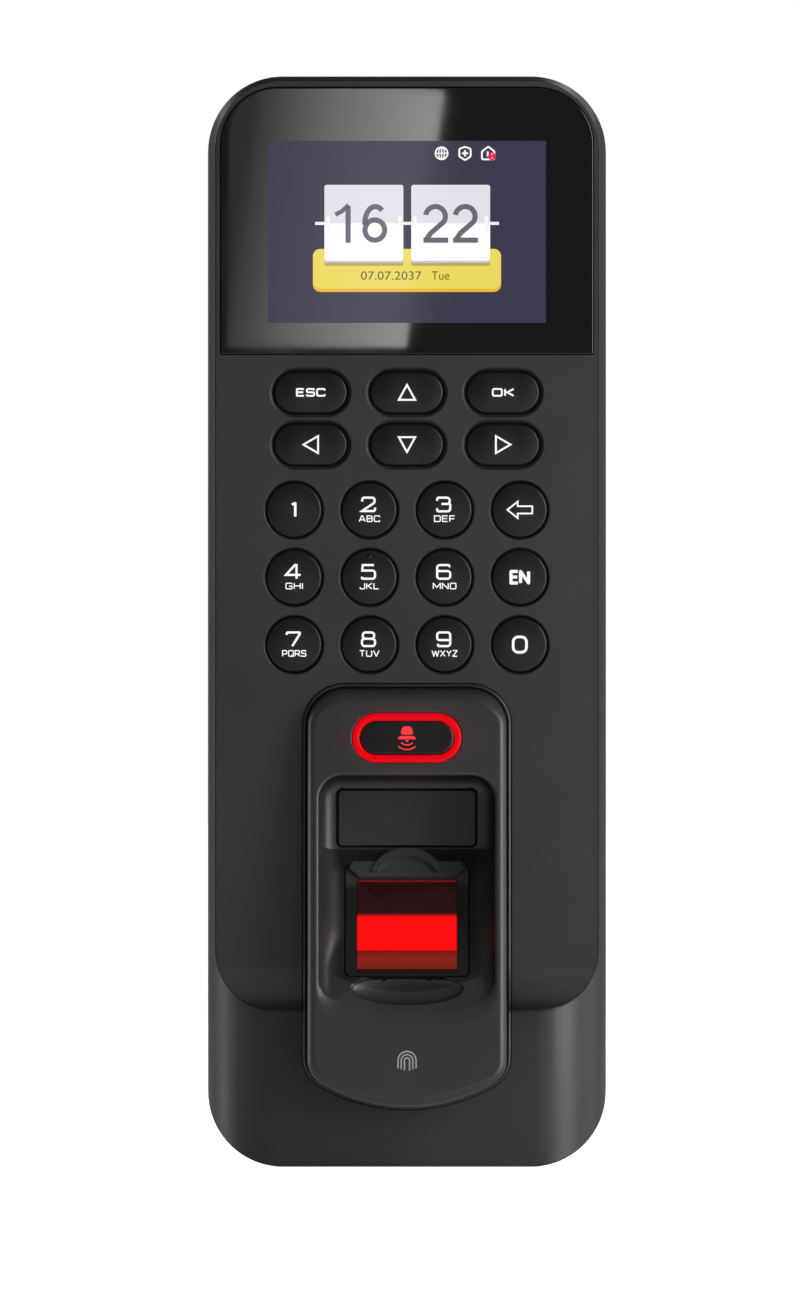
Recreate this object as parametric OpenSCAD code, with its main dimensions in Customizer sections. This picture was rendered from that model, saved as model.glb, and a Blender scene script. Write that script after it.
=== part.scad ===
// Wall-mounted fingerprint access terminal.
// Every module is drawn in the panel frame: X to the right, Y up the wall, Z out of the wall.
// stand() then turns it upright, so that the finished part has +Z up and its front towards -Y.
// The origin is the centre of the four wall screws, on the wall.

/* [Casing] */
// Width of the rear casing
body_w = 65.9; // [65.5:0.1:66.5]
// Height of the rear casing
body_h = 180; // [179:0.5:181]
// Corner radius of the rear casing, seen from the front
body_r = 12.4; // [11.5:0.1:13]
// Distance from the wall to the front of the chin below the cover
chin_d = 15.5; // [15.3:0.1:15.7]
// Radius of the long rounded sides
side_r = 11.65; // [11.5:0.05:11.8]
// Wall thickness of the rear casing
rear_wall = 2.0; // [1.8:0.1:2.1]
// Gap between the wall and the rim of the rear casing
wall_gap = 0.4; // [0.3:0.1:0.5]

/* [Front cover] */
// Width of the front cover
cover_w = 62.9; // [62.7:0.1:63]
// Top edge of the cover above the origin
cover_top = 89.05; // [88.9:0.05:89.2]
// Bottom edge of the cover below the origin
cover_bottom = -64; // [-64.4:0.1:-63.8]
// Distance from the wall to the face of the cover
cover_d = 24; // [23.9:0.1:24.1]
// Corner radius at the top of the cover
cover_r_top = 10.9; // [10.5:0.1:11.2]
// Corner radius at the bottom of the cover
cover_r_bottom = 9.6; // [9.2:0.1:10]
// Radius of the rolled lower edge
roll_r = 7.4; // [7.2:0.1:7.5]
// Wall thickness of the cover
cover_wall = 1.8; // [1.7:0.05:1.9]
// Shadow gap between the cover and the rear casing
seam = 0.25; // [0.2:0.05:0.3]

/* [Display] */
// Width of the glossy window
window_w = 61.5; // [61.3:0.1:61.6]
// Top edge of the window above the origin
window_top = 88.05; // [87.9:0.05:88.2]
// Bottom edge of the window above the origin
window_bottom = 44; // [43.8:0.1:44.2]
// Thickness of the window
window_t = 1.5; // [1.4:0.05:1.5]
// Width of the lit picture
picture_w = 45.8; // [45:0.1:46]
// Height of the lit picture
picture_h = 30; // [29.5:0.1:30.5]
// Height of the picture's centre above the origin
picture_y = 64.2; // [64:0.1:64.4]

/* [Keypad] */
// Diameter of a round key
round_key_d = 9; // [8.8:0.1:9.1]
// Sideways pitch of the round keys
round_pitch_x = 12.39; // [12.3:0.01:12.5]
// Upright pitch of the round keys
round_pitch_y = 11.1; // [11.05:0.01:11.15]
// Height of the middle row of round keys
round_row_y = 7.3; // [7.2:0.1:7.4]
// Width of an oval key
oval_key_w = 11.9; // [11.7:0.1:12]
// Height of an oval key
oval_key_h = 6.7; // [6.6:0.1:6.8]
// Sideways pitch of the oval keys
oval_pitch_x = 15.85; // [15.7:0.01:16]
// Height of the upper row of oval keys
oval_row_y = 37.75; // [37.6:0.05:37.9]
// Upright pitch of the oval keys
oval_pitch_y = 8.6; // [8.55:0.01:8.7]
// How far the key tops stand out of the cover
key_rise = 0.4; // [0.3:0.1:0.5]
// Clearance round every key
key_gap = 0.28; // [0.25:0.01:0.3]

/* [Sensor island] */
// Width of the island that carries the sensor
island_w = 32.8; // [32.6:0.1:33]
// Top edge of the island
island_top = -11; // [-11.2:0.1:-10.9]
// Bottom edge of the island
island_bottom = -79.8; // [-80:0.1:-79.6]
// Top edge of the island's face
face_top = -13.8; // [-14:0.1:-13.6]
// Distance from the wall to the top edge of the island's face
face_d = 27.2; // [27:0.1:27.3]
// How far the face comes out for each millimetre down
face_slope = 0.16; // [0.155:0.001:0.16]
// Width of the collar round the island
collar = 0.8; // [0.7:0.05:0.85]
// Height of the sensor window's centre
sensor_y = -50.3; // [-50.5:0.1:-50.1]
// Distance from the wall to the sensor window's centre
sensor_d = 26.5; // [26.4:0.1:26.6]
// Tilt of the sensor window from upright
sensor_tilt = 33; // [32:0.5:34]
// Width of the sensor window
glass_w = 16.4; // [16.2:0.1:16.4]
// Length of the sensor window along its slope
glass_l = 18.3; // [18:0.1:18.4]
// Height of the doorbell button's centre
bell_y = -19.1; // [-19.2:0.1:-19]

/* [Wall plate] */
// Sideways distance between the wall screws
wall_screw_x = 46; // [44:1:48]
// Upright distance between the wall screws
wall_screw_y = 83.5; // [83:0.5:84]
// Radius of a wall screw hole
wall_screw_r = 2.25; // [2:0.05:2.4]
// Thickness of the plate
plate_t = 1.5; // [1.2:0.1:1.6]

/* [Hidden] */
$fn = 64;
e = 0.01;
far = 60;
side_flat = body_w / 2 - side_r;        // half width of the flat front of the chin
side_d = chin_d - side_r;               // depth of the centre of the rounded sides
shelf_y = -50;                          // below this the cover stands on the chin
skirt_d = 8.35;                         // depth of the cover's rim
recess_d = 2.4;                         // depth of the plate's recess in the casing
back_in = recess_d + rear_wall;         // depth of the inner face of the back
plate_w = 58.4;
plate_top = 71;
plate_bottom = -82.5;
roll_y = cover_bottom + roll_r;
roll_d = cover_d - roll_r;
face_tilt = atan(face_slope);
board_d = 12;                           // rear face of the main board
board_t = 1.6;
keyboard_d = 14.8;                      // rear face of the keypad board
mat_d = keyboard_d + board_t;           // rear face of the silicone mat
flange_top = cover_d - cover_wall - 0.1;
flange_t = 0.9;
lcd_d = 20.9;                           // rear face of the display glass
lcd_t = 1.4;
trough_w = 28.8;
trough_top = -25.4;
trough_bottom = -66.5;
shelf_top = -37.4;                      // where the pocket meets the sloping floor
cove_end = (shelf_top - sensor_y) / cos(sensor_tilt) - 15;
foot_y = -58.9;                         // where the floor eases into the gentler foot
foot_tilt = 28;
hollow_ball = 46;                       // radius of the hollow below the window
hollow_deep = 1.1;
hollow_y = -4.8;
pocket_d = 18.2;
pocket_y = -32.4;
frame_y = 0.85;
bell_w = 17.9;
bell_h = 8.1;
bell_ring = 1.1;
bell_s = (face_top - bell_y) / cos(face_tilt);
tamper = [-22, -28];
cable_bay = [26, 34];
cable_bay_y = 12;
case_screws = [[20, 85], [-20, 85], [27.1, 20], [-27.1, 20], [24, -54], [-24, -54]];
board_screws = [[20.8, 74], [-20.8, 74], [17, -2], [-17, -2]];
hooks = [[14, 46], [-14, 46], [14, -40], [-14, -40]];

ROUND_KEYS = [["key_1", 0, 1], ["key_2", 1, 1], ["key_3", 2, 1], ["key_back", 3, 1],
              ["key_4", 0, 0], ["key_5", 1, 0], ["key_6", 2, 0], ["key_language", 3, 0],
              ["key_7", 0, -1], ["key_8", 1, -1], ["key_9", 2, -1], ["key_0", 3, -1]];
OVAL_KEYS = [["key_esc", -1, 0], ["key_up", 0, 0], ["key_ok", 1, 0],
             ["key_left", -1, 1], ["key_down", 0, 1], ["key_right", 1, 1]];

// ---------- helpers ----------

// Turns the panel frame upright.
module stand() rotate([90, 0, 0]) children();

// Extrudes an [x, depth] outline along the height.
module along_height(length, y = 0) translate([0, y, 0]) rotate([90, 0, 0])
    linear_extrude(length, center = true) children();

// Extrudes a [depth, height] outline across the width.
module across_width(length) rotate([0, -90, 0]) linear_extrude(length, center = true) children();

// Extrudes an [x, height] outline from one depth to another.
module between(d0, d1) translate([0, 0, d0]) linear_extrude(d1 - d0) children();

module at_face() translate([0, face_top, face_d]) rotate([-face_tilt, 0, 0]) children();
module at_bell() at_face() translate([0, -bell_s, 0]) children();
module at_sensor() translate([0, sensor_y, sensor_d]) rotate([-sensor_tilt, 0, 0]) children();
module at_foot() translate([0, foot_y, floor_d(foot_y)]) rotate([-foot_tilt, 0, 0]) children();

module box(w, h, d0, d1, x = 0, y = 0) translate([x - w / 2, y - h / 2, d0]) cube([w, h, d1 - d0]);

module rounded(w, h, r) {
    square([w - 2 * r, h], center = true);
    square([w, h - 2 * r], center = true);
    for (i = [-1, 1], j = [-1, 1]) translate([i * (w / 2 - r), j * (h / 2 - r)]) circle(r);
}

// An upright plate with its own radius at the top corners and at the bottom corners.
module plate_outline(w, top, bottom, rt, rb) {
    translate([-w / 2, bottom + rb]) square([w, top - rt - bottom - rb]);
    translate([-w / 2 + rt, bottom + rb]) square([w - 2 * rt, top - bottom - rb]);
    translate([-w / 2 + rb, bottom]) square([w - 2 * rb, top - rt - bottom]);
    for (s = [-1, 1]) {
        translate([s * (w / 2 - rt), top - rt]) circle(rt);
        translate([s * (w / 2 - rb), bottom + rb]) circle(rb);
    }
}

module oval(w, h) {
    square([w - h, h], center = true);
    for (s = [-1, 1]) translate([s * (w - h) / 2, 0]) circle(h / 2);
}

// A funnel with an oval mouth: two cones and a bar between them.
module oval_funnel(w, h, d0, d1, grow) {
    for (s = [-1, 1]) translate([s * (w - h) / 2, 0, d0])
        cylinder(h = d1 - d0, r1 = h / 2, r2 = h / 2 + grow);
    across_width(w - h) polygon([[d0, -h / 2], [d1, -h / 2 - grow], [d1, h / 2 + grow], [d0, h / 2]]);
}

function round_x(k) = (k[1] - 1.5) * round_pitch_x;
function round_y(k) = round_row_y + k[2] * round_pitch_y;
function oval_x(k) = k[1] * oval_pitch_x;
function oval_y(k) = oval_row_y - k[2] * oval_pitch_y;

module at_round_keys() for (k = ROUND_KEYS) translate([round_x(k), round_y(k), 0]) children();
module at_oval_keys() for (k = OVAL_KEYS) translate([oval_x(k), oval_y(k), 0]) children();

// ---------- casing outlines ----------

module body_outline(inset = 0) rounded(body_w - 2 * inset, body_h - 2 * inset, body_r - inset);
module cover_outline(inset = 0)
    plate_outline(cover_w - 2 * inset, cover_top - inset, cover_bottom + inset,
                  cover_r_top - inset, cover_r_bottom - inset);

// Level section through the casing: a flat front with long rounded sides.
module body_section(inset = 0) intersection() {
    union() {
        translate([-side_flat, 0]) square([2 * side_flat, chin_d - inset]);
        for (s = [-1, 1]) translate([s * side_flat, side_d]) circle(side_r - inset);
        translate([-body_w / 2 + inset, 0]) square([body_w - 2 * inset, side_d]);
    }
    translate([-far, wall_gap]) square([2 * far, far]);
}

// Side profile of the cover: flat face, then a round roll back at the bottom edge.
module cover_profile(inset = 0, low = 0) {
    translate([low, roll_y]) square([cover_d - inset - low, far * 3]);
    translate([roll_d, roll_y]) circle(roll_r - inset);
    translate([low, cover_bottom + inset]) square([roll_d - low, 2 * roll_r]);
}

// A plate with round shoulders and a shallow curved foot.
module shield(w, top, bottom, shoulder, foot_r, foot_corner) {
    foot_y = bottom + foot_r;
    corner_x = w / 2 - foot_corner;
    corner_y = foot_y - sqrt(pow(foot_r - foot_corner, 2) - pow(corner_x, 2));
    translate([-w / 2, corner_y]) square([w, top - shoulder - corner_y]);
    translate([-w / 2 + shoulder, corner_y]) square([w - 2 * shoulder, top - corner_y]);
    for (s = [-1, 1]) {
        translate([s * (w / 2 - shoulder), top - shoulder]) circle(shoulder);
        translate([s * corner_x, corner_y]) circle(foot_corner);
    }
    intersection() {
        translate([0, foot_y]) circle(foot_r, $fn = 180);
        polygon([[0, foot_y], [-1.6 * corner_x, foot_y - 1.6 * (foot_y - corner_y)],
                 [1.6 * corner_x, foot_y - 1.6 * (foot_y - corner_y)]]);
    }
}

module island_outline(inset = 0)
    shield(island_w - 2 * inset, island_top - inset, island_bottom + inset,
           6.1 - inset, 28.4 - inset, 4.8 - inset);

// ---------- outer pieces ----------

module rear_casing() color("#2d2d2d") stand() difference() {
    union() {
        difference() {
            intersection() {
                along_height(body_h) body_section();
                between(0, far) body_outline();
            }
            between(-1, recess_d) plate_outline(59.6, 72, -84, 4, 4);
            between(back_in, far) intersection() {
                cover_outline(2.45);
                translate([-far, shelf_y]) square([2 * far, 3 * far]);
            }
            intersection() {
                along_height(body_h) body_section(rear_wall);
                between(back_in, far) body_outline(2.6);
                translate([-far, -2 * far, 0]) cube([2 * far, 2 * far + shelf_y + 1, far]);
            }
            between(back_in + 5, far) island_outline(-collar - 0.1);
            // the cover's rim drops into the casing
            between(skirt_d - 0.15, far) intersection() {
                cover_outline(-seam);
                translate([-far, shelf_y]) square([2 * far, 3 * far]);
            }
            difference() {
                between(skirt_d - 0.15, far) intersection() {
                    difference() {
                        cover_outline(-seam);
                        cover_outline(2.1);
                    }
                    translate([-far, -far * 2]) square([2 * far, 2 * far + shelf_y]);
                }
                along_height(body_h + 2) body_section(0.5);
            }
            // groove for the seal
            between(skirt_d - 1.2, far) seal_path();
        }
        for (p = case_screws) translate([p[0], p[1], recess_d + 0.1])
            cylinder(h = p[1] < shelf_y ? chin_d - 3.6 : skirt_d - 2.9, r = 2.3);
        for (p = board_screws) translate([p[0], p[1], back_in - 0.5])
            cylinder(h = board_d - back_in + 0.5, r = 2.6);
    }
    // cable bay and tamper hole through the back
    between(-1, 6) translate([0, cable_bay_y]) rounded(cable_bay[0], cable_bay[1], 3);
    translate([tamper[0], tamper[1], 0]) cylinder(h = 6, r = 2.1);
    for (p = case_screws) translate([p[0], p[1], -1]) {
        cylinder(h = far, r = 1.35);
        cylinder(h = 1 + (p[1] > 72 ? 2.5 : recess_d + 1.6), r = 2.45);
    }
    for (p = board_screws) translate([p[0], p[1], back_in + 1]) cylinder(h = far, r = 1.27);
    // slots for the plate's hooks, a pocket for its tab, and the locking screw from below
    for (p = hooks) box(6.4, 4.6, 1, 6, x = p[0], y = p[1] - 1.5);
    box(17, 4.6, -1, 8.6, y = -81.7);
    translate([0, -92, 5]) rotate([-90, 0, 0]) cylinder(h = 10, r = 1.65);
    translate([0, -91, 5]) rotate([-90, 0, 0]) cylinder(h = 3.4, r = 3.1);
}

module seal_path() intersection() {
    difference() {
        cover_outline(0.7);
        cover_outline(1.7);
    }
    translate([-far, shelf_y + 2]) square([2 * far, 3 * far]);
}

module casing_seal() color("#161616") stand() between(skirt_d - 1.2, skirt_d) seal_path();

module front_cover() color("#363636") stand() difference() {
    union() {
        difference() {
            intersection() {
                between(skirt_d, far) cover_outline();
                across_width(far * 2) cover_profile();
            }
            intersection() {
                between(-1, far) cover_outline(cover_wall);
                across_width(far * 2) cover_profile(cover_wall, -1);
            }
            // the skirt stands on the chin
            intersection() {
                along_height(body_h + 2) body_section(0.35);
                translate([-far, -2 * far, 0]) cube([2 * far, 2 * far + shelf_y + e, far]);
            }
        }
        // ledge behind the window
        between(21.2, cover_d - 1) intersection() {
            translate([-far, window_bottom - 1.6]) square([2 * far, far]);
            cover_outline(1);
        }
        for (p = case_screws) translate([p[0], p[1], p[1] < shelf_y ? chin_d + 0.3 : skirt_d])
            cylinder(h = cover_d - (p[1] < shelf_y ? chin_d : skirt_d) - 1.4, r = 2.3);
        for (s = [-1, 1]) box(1.2, 10, 17, 22.5, x = s * 28, y = 62);
    }
    // window seat and the opening over the display
    between(cover_d - window_t - 0.1, far)
        plate_outline(window_w + 0.2, window_top + 0.1, window_bottom - 0.1, 9.6, 0.4);
    box(48.6, 32.8, 20, far, y = picture_y);
    // the island and its collar
    between(-1, far) island_outline(-collar - 0.1);
    // keys
    at_round_keys() {
        cylinder(h = far, r = round_key_d / 2 + key_gap);
        translate([0, 0, cover_d - 0.25])
            cylinder(h = 0.5, r1 = round_key_d / 2 + key_gap, r2 = round_key_d / 2 + key_gap + 0.5);
    }
    at_oval_keys() {
        between(10, far) oval(oval_key_w + 2 * key_gap, oval_key_h + 2 * key_gap);
        oval_funnel(oval_key_w + 2 * key_gap, oval_key_h + 2 * key_gap,
                    cover_d - 0.55, cover_d + 0.1, 0.62);
    }
    for (p = case_screws) translate([p[0], p[1], 0]) cylinder(h = p[1] < shelf_y ? 21.5 : 18, r = 1.27);
}

module display_window() color("#0b0b0b") stand()
    between(cover_d - window_t, cover_d) plate_outline(window_w, window_top, window_bottom, 9.5, 0.3);

module wall_plate() color("#b7b9bb") stand() difference() {
    union() {
        between(0, plate_t) plate_outline(plate_w, plate_top, plate_bottom, 3.5, 3.5);
        box(16, plate_t, 0, 8.2, y = plate_bottom + plate_t / 2);
        // hooks that the casing hangs on
        for (p = hooks) {
            box(5.6, 1.3, 0, back_in + 1.2, x = p[0], y = p[1]);
            box(5.6, 3, back_in + 0.15, back_in + 1.2, x = p[0], y = p[1] + 0.85);
        }
    }
    between(-1, 3) translate([0, cable_bay_y]) rounded(30, 40, 3);
    for (i = [-1, 1], j = [-1, 1]) translate([i * wall_screw_x / 2, j * wall_screw_y / 2, -1])
        cylinder(h = 5, r = wall_screw_r);
    translate([0, -85, 5]) rotate([-90, 0, 0]) cylinder(h = 6, r = 1.52);
}

function face(y, drop = 0) = face_d + face_slope * (face_top - y) - drop;
function floor_d(y, drop = 0) = sensor_d + (sensor_y - y) * tan(sensor_tilt) - drop / cos(sensor_tilt);

// Side profile of the island, with its top and bottom edges rounded.
module island_profile(inset, drop) {
    rt = 2.8 - inset / 2;
    rb = 1.6;
    top = island_top - inset;
    low = island_bottom + inset;
    ct = [face(top - rt, drop) - rt / cos(face_tilt), top - rt];
    cb = [face(low + rb, drop) - rb / cos(face_tilt), low + rb];
    out = [cos(face_tilt), sin(face_tilt)];
    translate(ct) circle(rt);
    translate(cb) circle(rb);
    polygon([[0, top], [ct[0], top], ct + rt * out, cb + rb * out, cb, [cb[0], low], [0, low]]);
}

module island_shape(inset = 0, drop = 0) {
    rim = 1.4;
    intersection() {
        between(9.6 - drop, far) island_outline(inset);
        across_width(far) island_profile(inset, drop);
        at_face() along_height(220) {
            for (s = [-1, 1]) translate([s * (island_w / 2 - inset - rim), -rim - drop]) circle(rim);
            translate([-island_w / 2 + inset, -far]) square([island_w - 2 * inset, far - rim - drop]);
            translate([-island_w / 2 + inset + rim, -far])
                square([island_w - 2 * inset - 2 * rim, far - drop]);
        }
    }
}

module trough_outline() shield(trough_w, trough_top, trough_bottom, 3.8, 30, 5);

// A groove with straight sides and coved corners, as an [x, depth] outline above a flat floor.
module coved(w, cove) {
    translate([-w / 2 + cove, 0]) square([w - 2 * cove, far]);
    translate([-w / 2, cove]) square([w, far]);
    for (s = [-1, 1]) translate([s * (w / 2 - cove), cove]) circle(cove);
}

// The scoop for the finger: a sloping trough, and a deeper pocket above it for the fingertip.
module finger_scoop() {
    intersection() {
        between(0, far) trough_outline();
        at_sensor() along_height(90, -30 + cove_end) coved(trough_w, 4.3);
    }
    intersection() {
        between(pocket_d, far) trough_outline();
        translate([0, 0, pocket_d]) along_height(40, shelf_top + 20) coved(trough_w, 2.8);
    }
    // gentler slope at the foot, and the shallow hollow below the window
    intersection() {
        between(0, far) trough_outline();
        at_foot() along_height(16, -5) coved(trough_w, 2.2);
    }
    at_sensor() intersection() {
        translate([0, hollow_y, hollow_ball - hollow_deep]) sphere(hollow_ball);
        box(20, 14, -3, 0.1, y = -13);
    }
}

module island_bezel() color("#343434") stand() difference() {
    union() {
        difference() {
            island_shape();
            difference() {
                union() {
                    island_shape(1.7, 1.7);
                    between(0, 12) island_outline(1.7);
                }
                // material behind the scoop
                across_width(far) polygon([
                    [pocket_d - 1.5, trough_top + 1.7], [pocket_d - 1.5, shelf_top - 1],
                    [floor_d(shelf_top - 1, 1.6), shelf_top - 1], [floor_d(-66.6, 1.6), -66.6],
                    [far, -66.6], [far, trough_top + 1.7]]);
            }
        }
        at_bell() translate([0, 0, -3.6]) linear_extrude(3) oval(bell_w + 3, bell_h + 3);
    }
    finger_scoop();
    // seat of the sensor frame and the hole behind it
    at_sensor() {
        translate([0, frame_y, -0.9]) linear_extrude(2) rounded(20.4, 21.1, 1);
        box(18.8, 20, -6, 1, y = frame_y - 0.15);
        for (s = [-1, 1]) translate([s * 12.2, 0, -3]) cylinder(h = 2.7, r = 0.92);
    }
    // recess of the fingertip panel
    between(pocket_d - 2, far) translate([0, pocket_y]) rounded(23.1, 9.6, 1);
    // doorbell ring and button
    at_bell() translate([0, 0, -8]) linear_extrude(12) oval(bell_w + 0.1, bell_h + 0.1);
}

module island_collar() color("#303030") stand() intersection() {
    between(11, far) difference() {
        island_outline(-collar);
        island_outline(-0.08);
    }
    across_width(far) {
        translate([0, roll_y]) square([cover_d + 0.2, far * 3]);
        translate([roll_d, roll_y]) circle(roll_r + 0.2);
        translate([0, -far * 2]) square([roll_d + 0.1, far * 2 + roll_y]);
    }
}

module pocket_plate() color("#262626") stand()
    between(pocket_d - 1.9, pocket_d + 0.5) translate([0, pocket_y]) rounded(22.9, 9.4, 0.9);

// ---------- keys ----------

module round_key(k) color("#1b1b1b") stand() translate([round_x(k), round_y(k), 0]) {
    r = round_key_d / 2;
    top = cover_d + key_rise - flange_top + flange_t;
    translate([0, 0, flange_top - flange_t]) rotate_extrude() polygon([
        [0, 0], [r + 0.8, 0], [r + 0.8, flange_t], [r, flange_t], [r, top - 0.4], [r - 0.4, top], [0, top]]);
    translate([0, 0, mat_d + 2.3]) cylinder(h = flange_top - flange_t - mat_d - 2.3 + e, r = 1.6);
}

module oval_key(k) color("#1b1b1b") stand() translate([oval_x(k), oval_y(k), 0]) {
    between(flange_top - flange_t, flange_top) oval(oval_key_w + 1.4, oval_key_h + 1.2);
    between(flange_top - e, cover_d + key_rise - 0.3) oval(oval_key_w, oval_key_h);
    between(cover_d + key_rise - 0.3 - e, cover_d + key_rise) oval(oval_key_w - 0.5, oval_key_h - 0.5);
    translate([0, 0, mat_d + 2.3]) cylinder(h = flange_top - flange_t - mat_d - 2.3 + e, r = 1.6);
}

// One soft dome: a hollow cone on the mat with a flat top for the key's stem.
module key_dome() rotate_extrude() polygon([
    [1.1, 0], [3.4, 0], [3.4, 0.6], [3.1, 0.6], [1.9, 2.25], [0, 2.25], [0, 1.1], [0.9, 1.1], [0.9, 1.5],
    [1.5, 1.5], [2.2, 0.3], [1.1, 0.3]]);

module keypad_mat() color("#c9ccd0") stand() {
    difference() {
        between(mat_d, mat_d + 0.6) translate([0, 16.8]) rounded(48.4, 50.6, 2);
        for (k = ROUND_KEYS) translate([round_x(k), round_y(k), 0]) cylinder(h = far, r = 3.4 - e);
        for (k = OVAL_KEYS) translate([oval_x(k), oval_y(k), 0]) cylinder(h = far, r = 3.4 - e);
        key_light_holes(1.3);
    }
    for (k = ROUND_KEYS) translate([round_x(k), round_y(k), mat_d]) key_dome();
    for (k = OVAL_KEYS) translate([oval_x(k), oval_y(k), mat_d]) key_dome();
}

module key_light_holes(w) {
    for (k = ROUND_KEYS) box(w, w, 0, far, x = round_x(k), y = round_y(k) + 4.4);
    for (k = OVAL_KEYS) box(w, w, 0, far, x = oval_x(k) + 4.6, y = oval_y(k));
}

module keypad_board() color("#1d5b36") stand() difference() {
    between(keyboard_d, mat_d) translate([0, 16.4]) rounded(48.8, 52, 2);
    for (i = [-1, 1], j = [-1, 1]) translate([i * 22.6, 16.4 + j * 24.2, 0]) cylinder(h = far, r = 1.1);
}

module key_lights() color("#f3f1e4") stand() intersection() {
    between(mat_d, mat_d + 0.55) square([80, 120], center = true);
    key_light_holes(1.1);
}

// Loop board that reads cards, with four turns of copper proud of it.
module card_antenna() color("#8a5a2b") stand() translate([0, 16.2, 0]) {
    between(13.8, 14.4) difference() {
        rounded(48.8, 51, 3);
        rounded(40, 42.6, 2);
    }
    for (i = [0:3]) between(14.4 - e, 14.5) difference() {
        rounded(47.8 - 2 * i, 50 - 2 * i, 2.6);
        rounded(46.8 - 2 * i, 49 - 2 * i, 2.2);
    }
}

// ---------- doorbell ----------

module bell_button() color("#202020") stand() at_bell() {
    rim = bell_ring + 0.12;
    translate([0, 0, -3.2]) linear_extrude(3.3) oval(bell_w - 2 * rim, bell_h - 2 * rim);
    translate([0, 0, -4.2]) linear_extrude(1.1) oval(bell_w - 1, bell_h - 1);
}

module bell_light_ring() color("#e10613") stand()
    at_bell() translate([0, 0, -3.1]) linear_extrude(3.35) difference() {
        oval(bell_w, bell_h);
        oval(bell_w - 2 * bell_ring, bell_h - 2 * bell_ring);
    }

module bell_switch_plunger() color("#1a1a1a") stand()
    at_bell() translate([0, 0, -6.6]) cylinder(h = 2.38, r = 1.7);

module bell_switch() color("#c4c6c8") stand() at_bell() difference() {
    box(6.2, 6.2, -8.6, -5.4);
    translate([0, 0, -7.9]) cylinder(h = 5, r = 1.78);
}

module bell_board() color("#1d5b36") stand() at_bell() difference() {
    translate([0, 0, -9.7]) linear_extrude(1.08) rounded(24, 5.6, 1);
    for (s = [-1, 1]) translate([s * 10.4, 0, -11]) cylinder(h = 4, r = 0.9);
}

// ---------- display ----------

module lcd_glass() color("#3f3b52") stand() box(picture_w + 2.2, picture_h + 2.2, lcd_d, lcd_d + lcd_t, y = picture_y);

module lcd_backlight() color("#c7cbd0") stand() difference() {
    box(53.6, 35.8, 16.8, lcd_d - 0.02, y = picture_y);
    box(50, 34, lcd_d - 0.6, far, y = picture_y);
}

// Flat ribbon from the display down to the main board.
module lcd_ribbon() color("#b5651d") stand() across_width(18) difference() {
    union() {
        translate([15.9, 43.9]) square([0.9, 3]);
        translate([15.9, 43.9]) circle(0.9);
        translate([board_d + board_t + 0.02, 43]) square([15.9 - board_d - board_t, 0.5]);
        translate([board_d + board_t + 0.02, 42.4]) square([0.4, 1.1]);
    }
    translate([15.9, 43.9]) circle(0.4);
    translate([15.2, 43.9]) square([1.1, 3.2]);
}

// ---------- electronics ----------

module main_board() color("#17563a") stand() difference() {
    between(board_d, board_d + board_t) translate([0, 35]) rounded(48, 90, 3);
    for (p = board_screws) translate([p[0], p[1], 0]) cylinder(h = far, r = 1.4);
}

module board_chips() color("#141414") stand() {
    box(14, 14, board_d - 1.3, board_d - 0.01, x = -12, y = 52);
    box(10, 12, board_d - 1.1, board_d - 0.01, x = 8, y = 54);
    box(8, 8, board_d - 0.9, board_d - 0.01, x = -14, y = 36);
    for (i = [0:4]) box(3.2, 1.6, board_d - 1.2, board_d - 0.01, x = 15 - 0.5 * i, y = 40 - 3 * i);
}

module door_relay() color("#2a6bb0") stand() box(15, 10.4, 4.8, board_d - 0.01, x = -14, y = 65);

module backup_cell() color("#cfd2d5") stand()
    translate([13, 67, 7]) cylinder(h = board_d - 7.01, r = 6.2);

module buzzer() color("#101010") stand() difference() {
    translate([17.5, 20, 5]) cylinder(h = board_d - 5.01, r = 4.5);
    translate([17.5, 20, 4]) cylinder(h = 2, r = 0.9);
}

// Network socket that opens towards the wall.
module network_socket() color("#3b3e42") stand() difference() {
    box(15.6, 13.4, 3.2, board_d - 0.01, y = 20);
    box(11.8, 8.2, 0, board_d - 2, y = 20.6);
    box(6.2, 3, 0, board_d - 2, y = 16.4);
}

module terminal_sockets() color("#ece9df") stand() for (y = [6, -1]) difference() {
    box(21, 5.6, 4.9, board_d - 0.01, y = y);
    for (i = [0:6]) box(1.6, 3.6, 4, board_d - 2, x = (i - 3) * 2.7, y = y);
}

module board_link() color("#d9d6cf") stand() {
    box(16, 4.2, board_d + board_t + 0.01, keyboard_d - 0.01, y = -2);
}

module tamper_switch() color("#a9acb0") stand() difference() {
    box(6.4, 6.4, 7.6, board_d + 1.6, x = tamper[0], y = tamper[1]);
    translate([tamper[0], tamper[1], 6]) cylinder(h = 4.6, r = 1.42);
}

module tamper_plunger() color("#d8dadc") stand() translate([tamper[0], tamper[1], 0]) {
    translate([0, 0, plate_t + 0.1]) cylinder(h = 3.2, r = 2.0);
    translate([0, 0, plate_t + 3]) cylinder(h = 4.6, r = 1.35);
}

// ---------- fingerprint sensor ----------

module crescent(bottom, height, r, y) intersection() {
    translate([0, y, bottom]) cylinder(h = height, r = r);
    box(14, 6, 0, 5, y = glass_l / 2 + 3.9);
}

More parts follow.
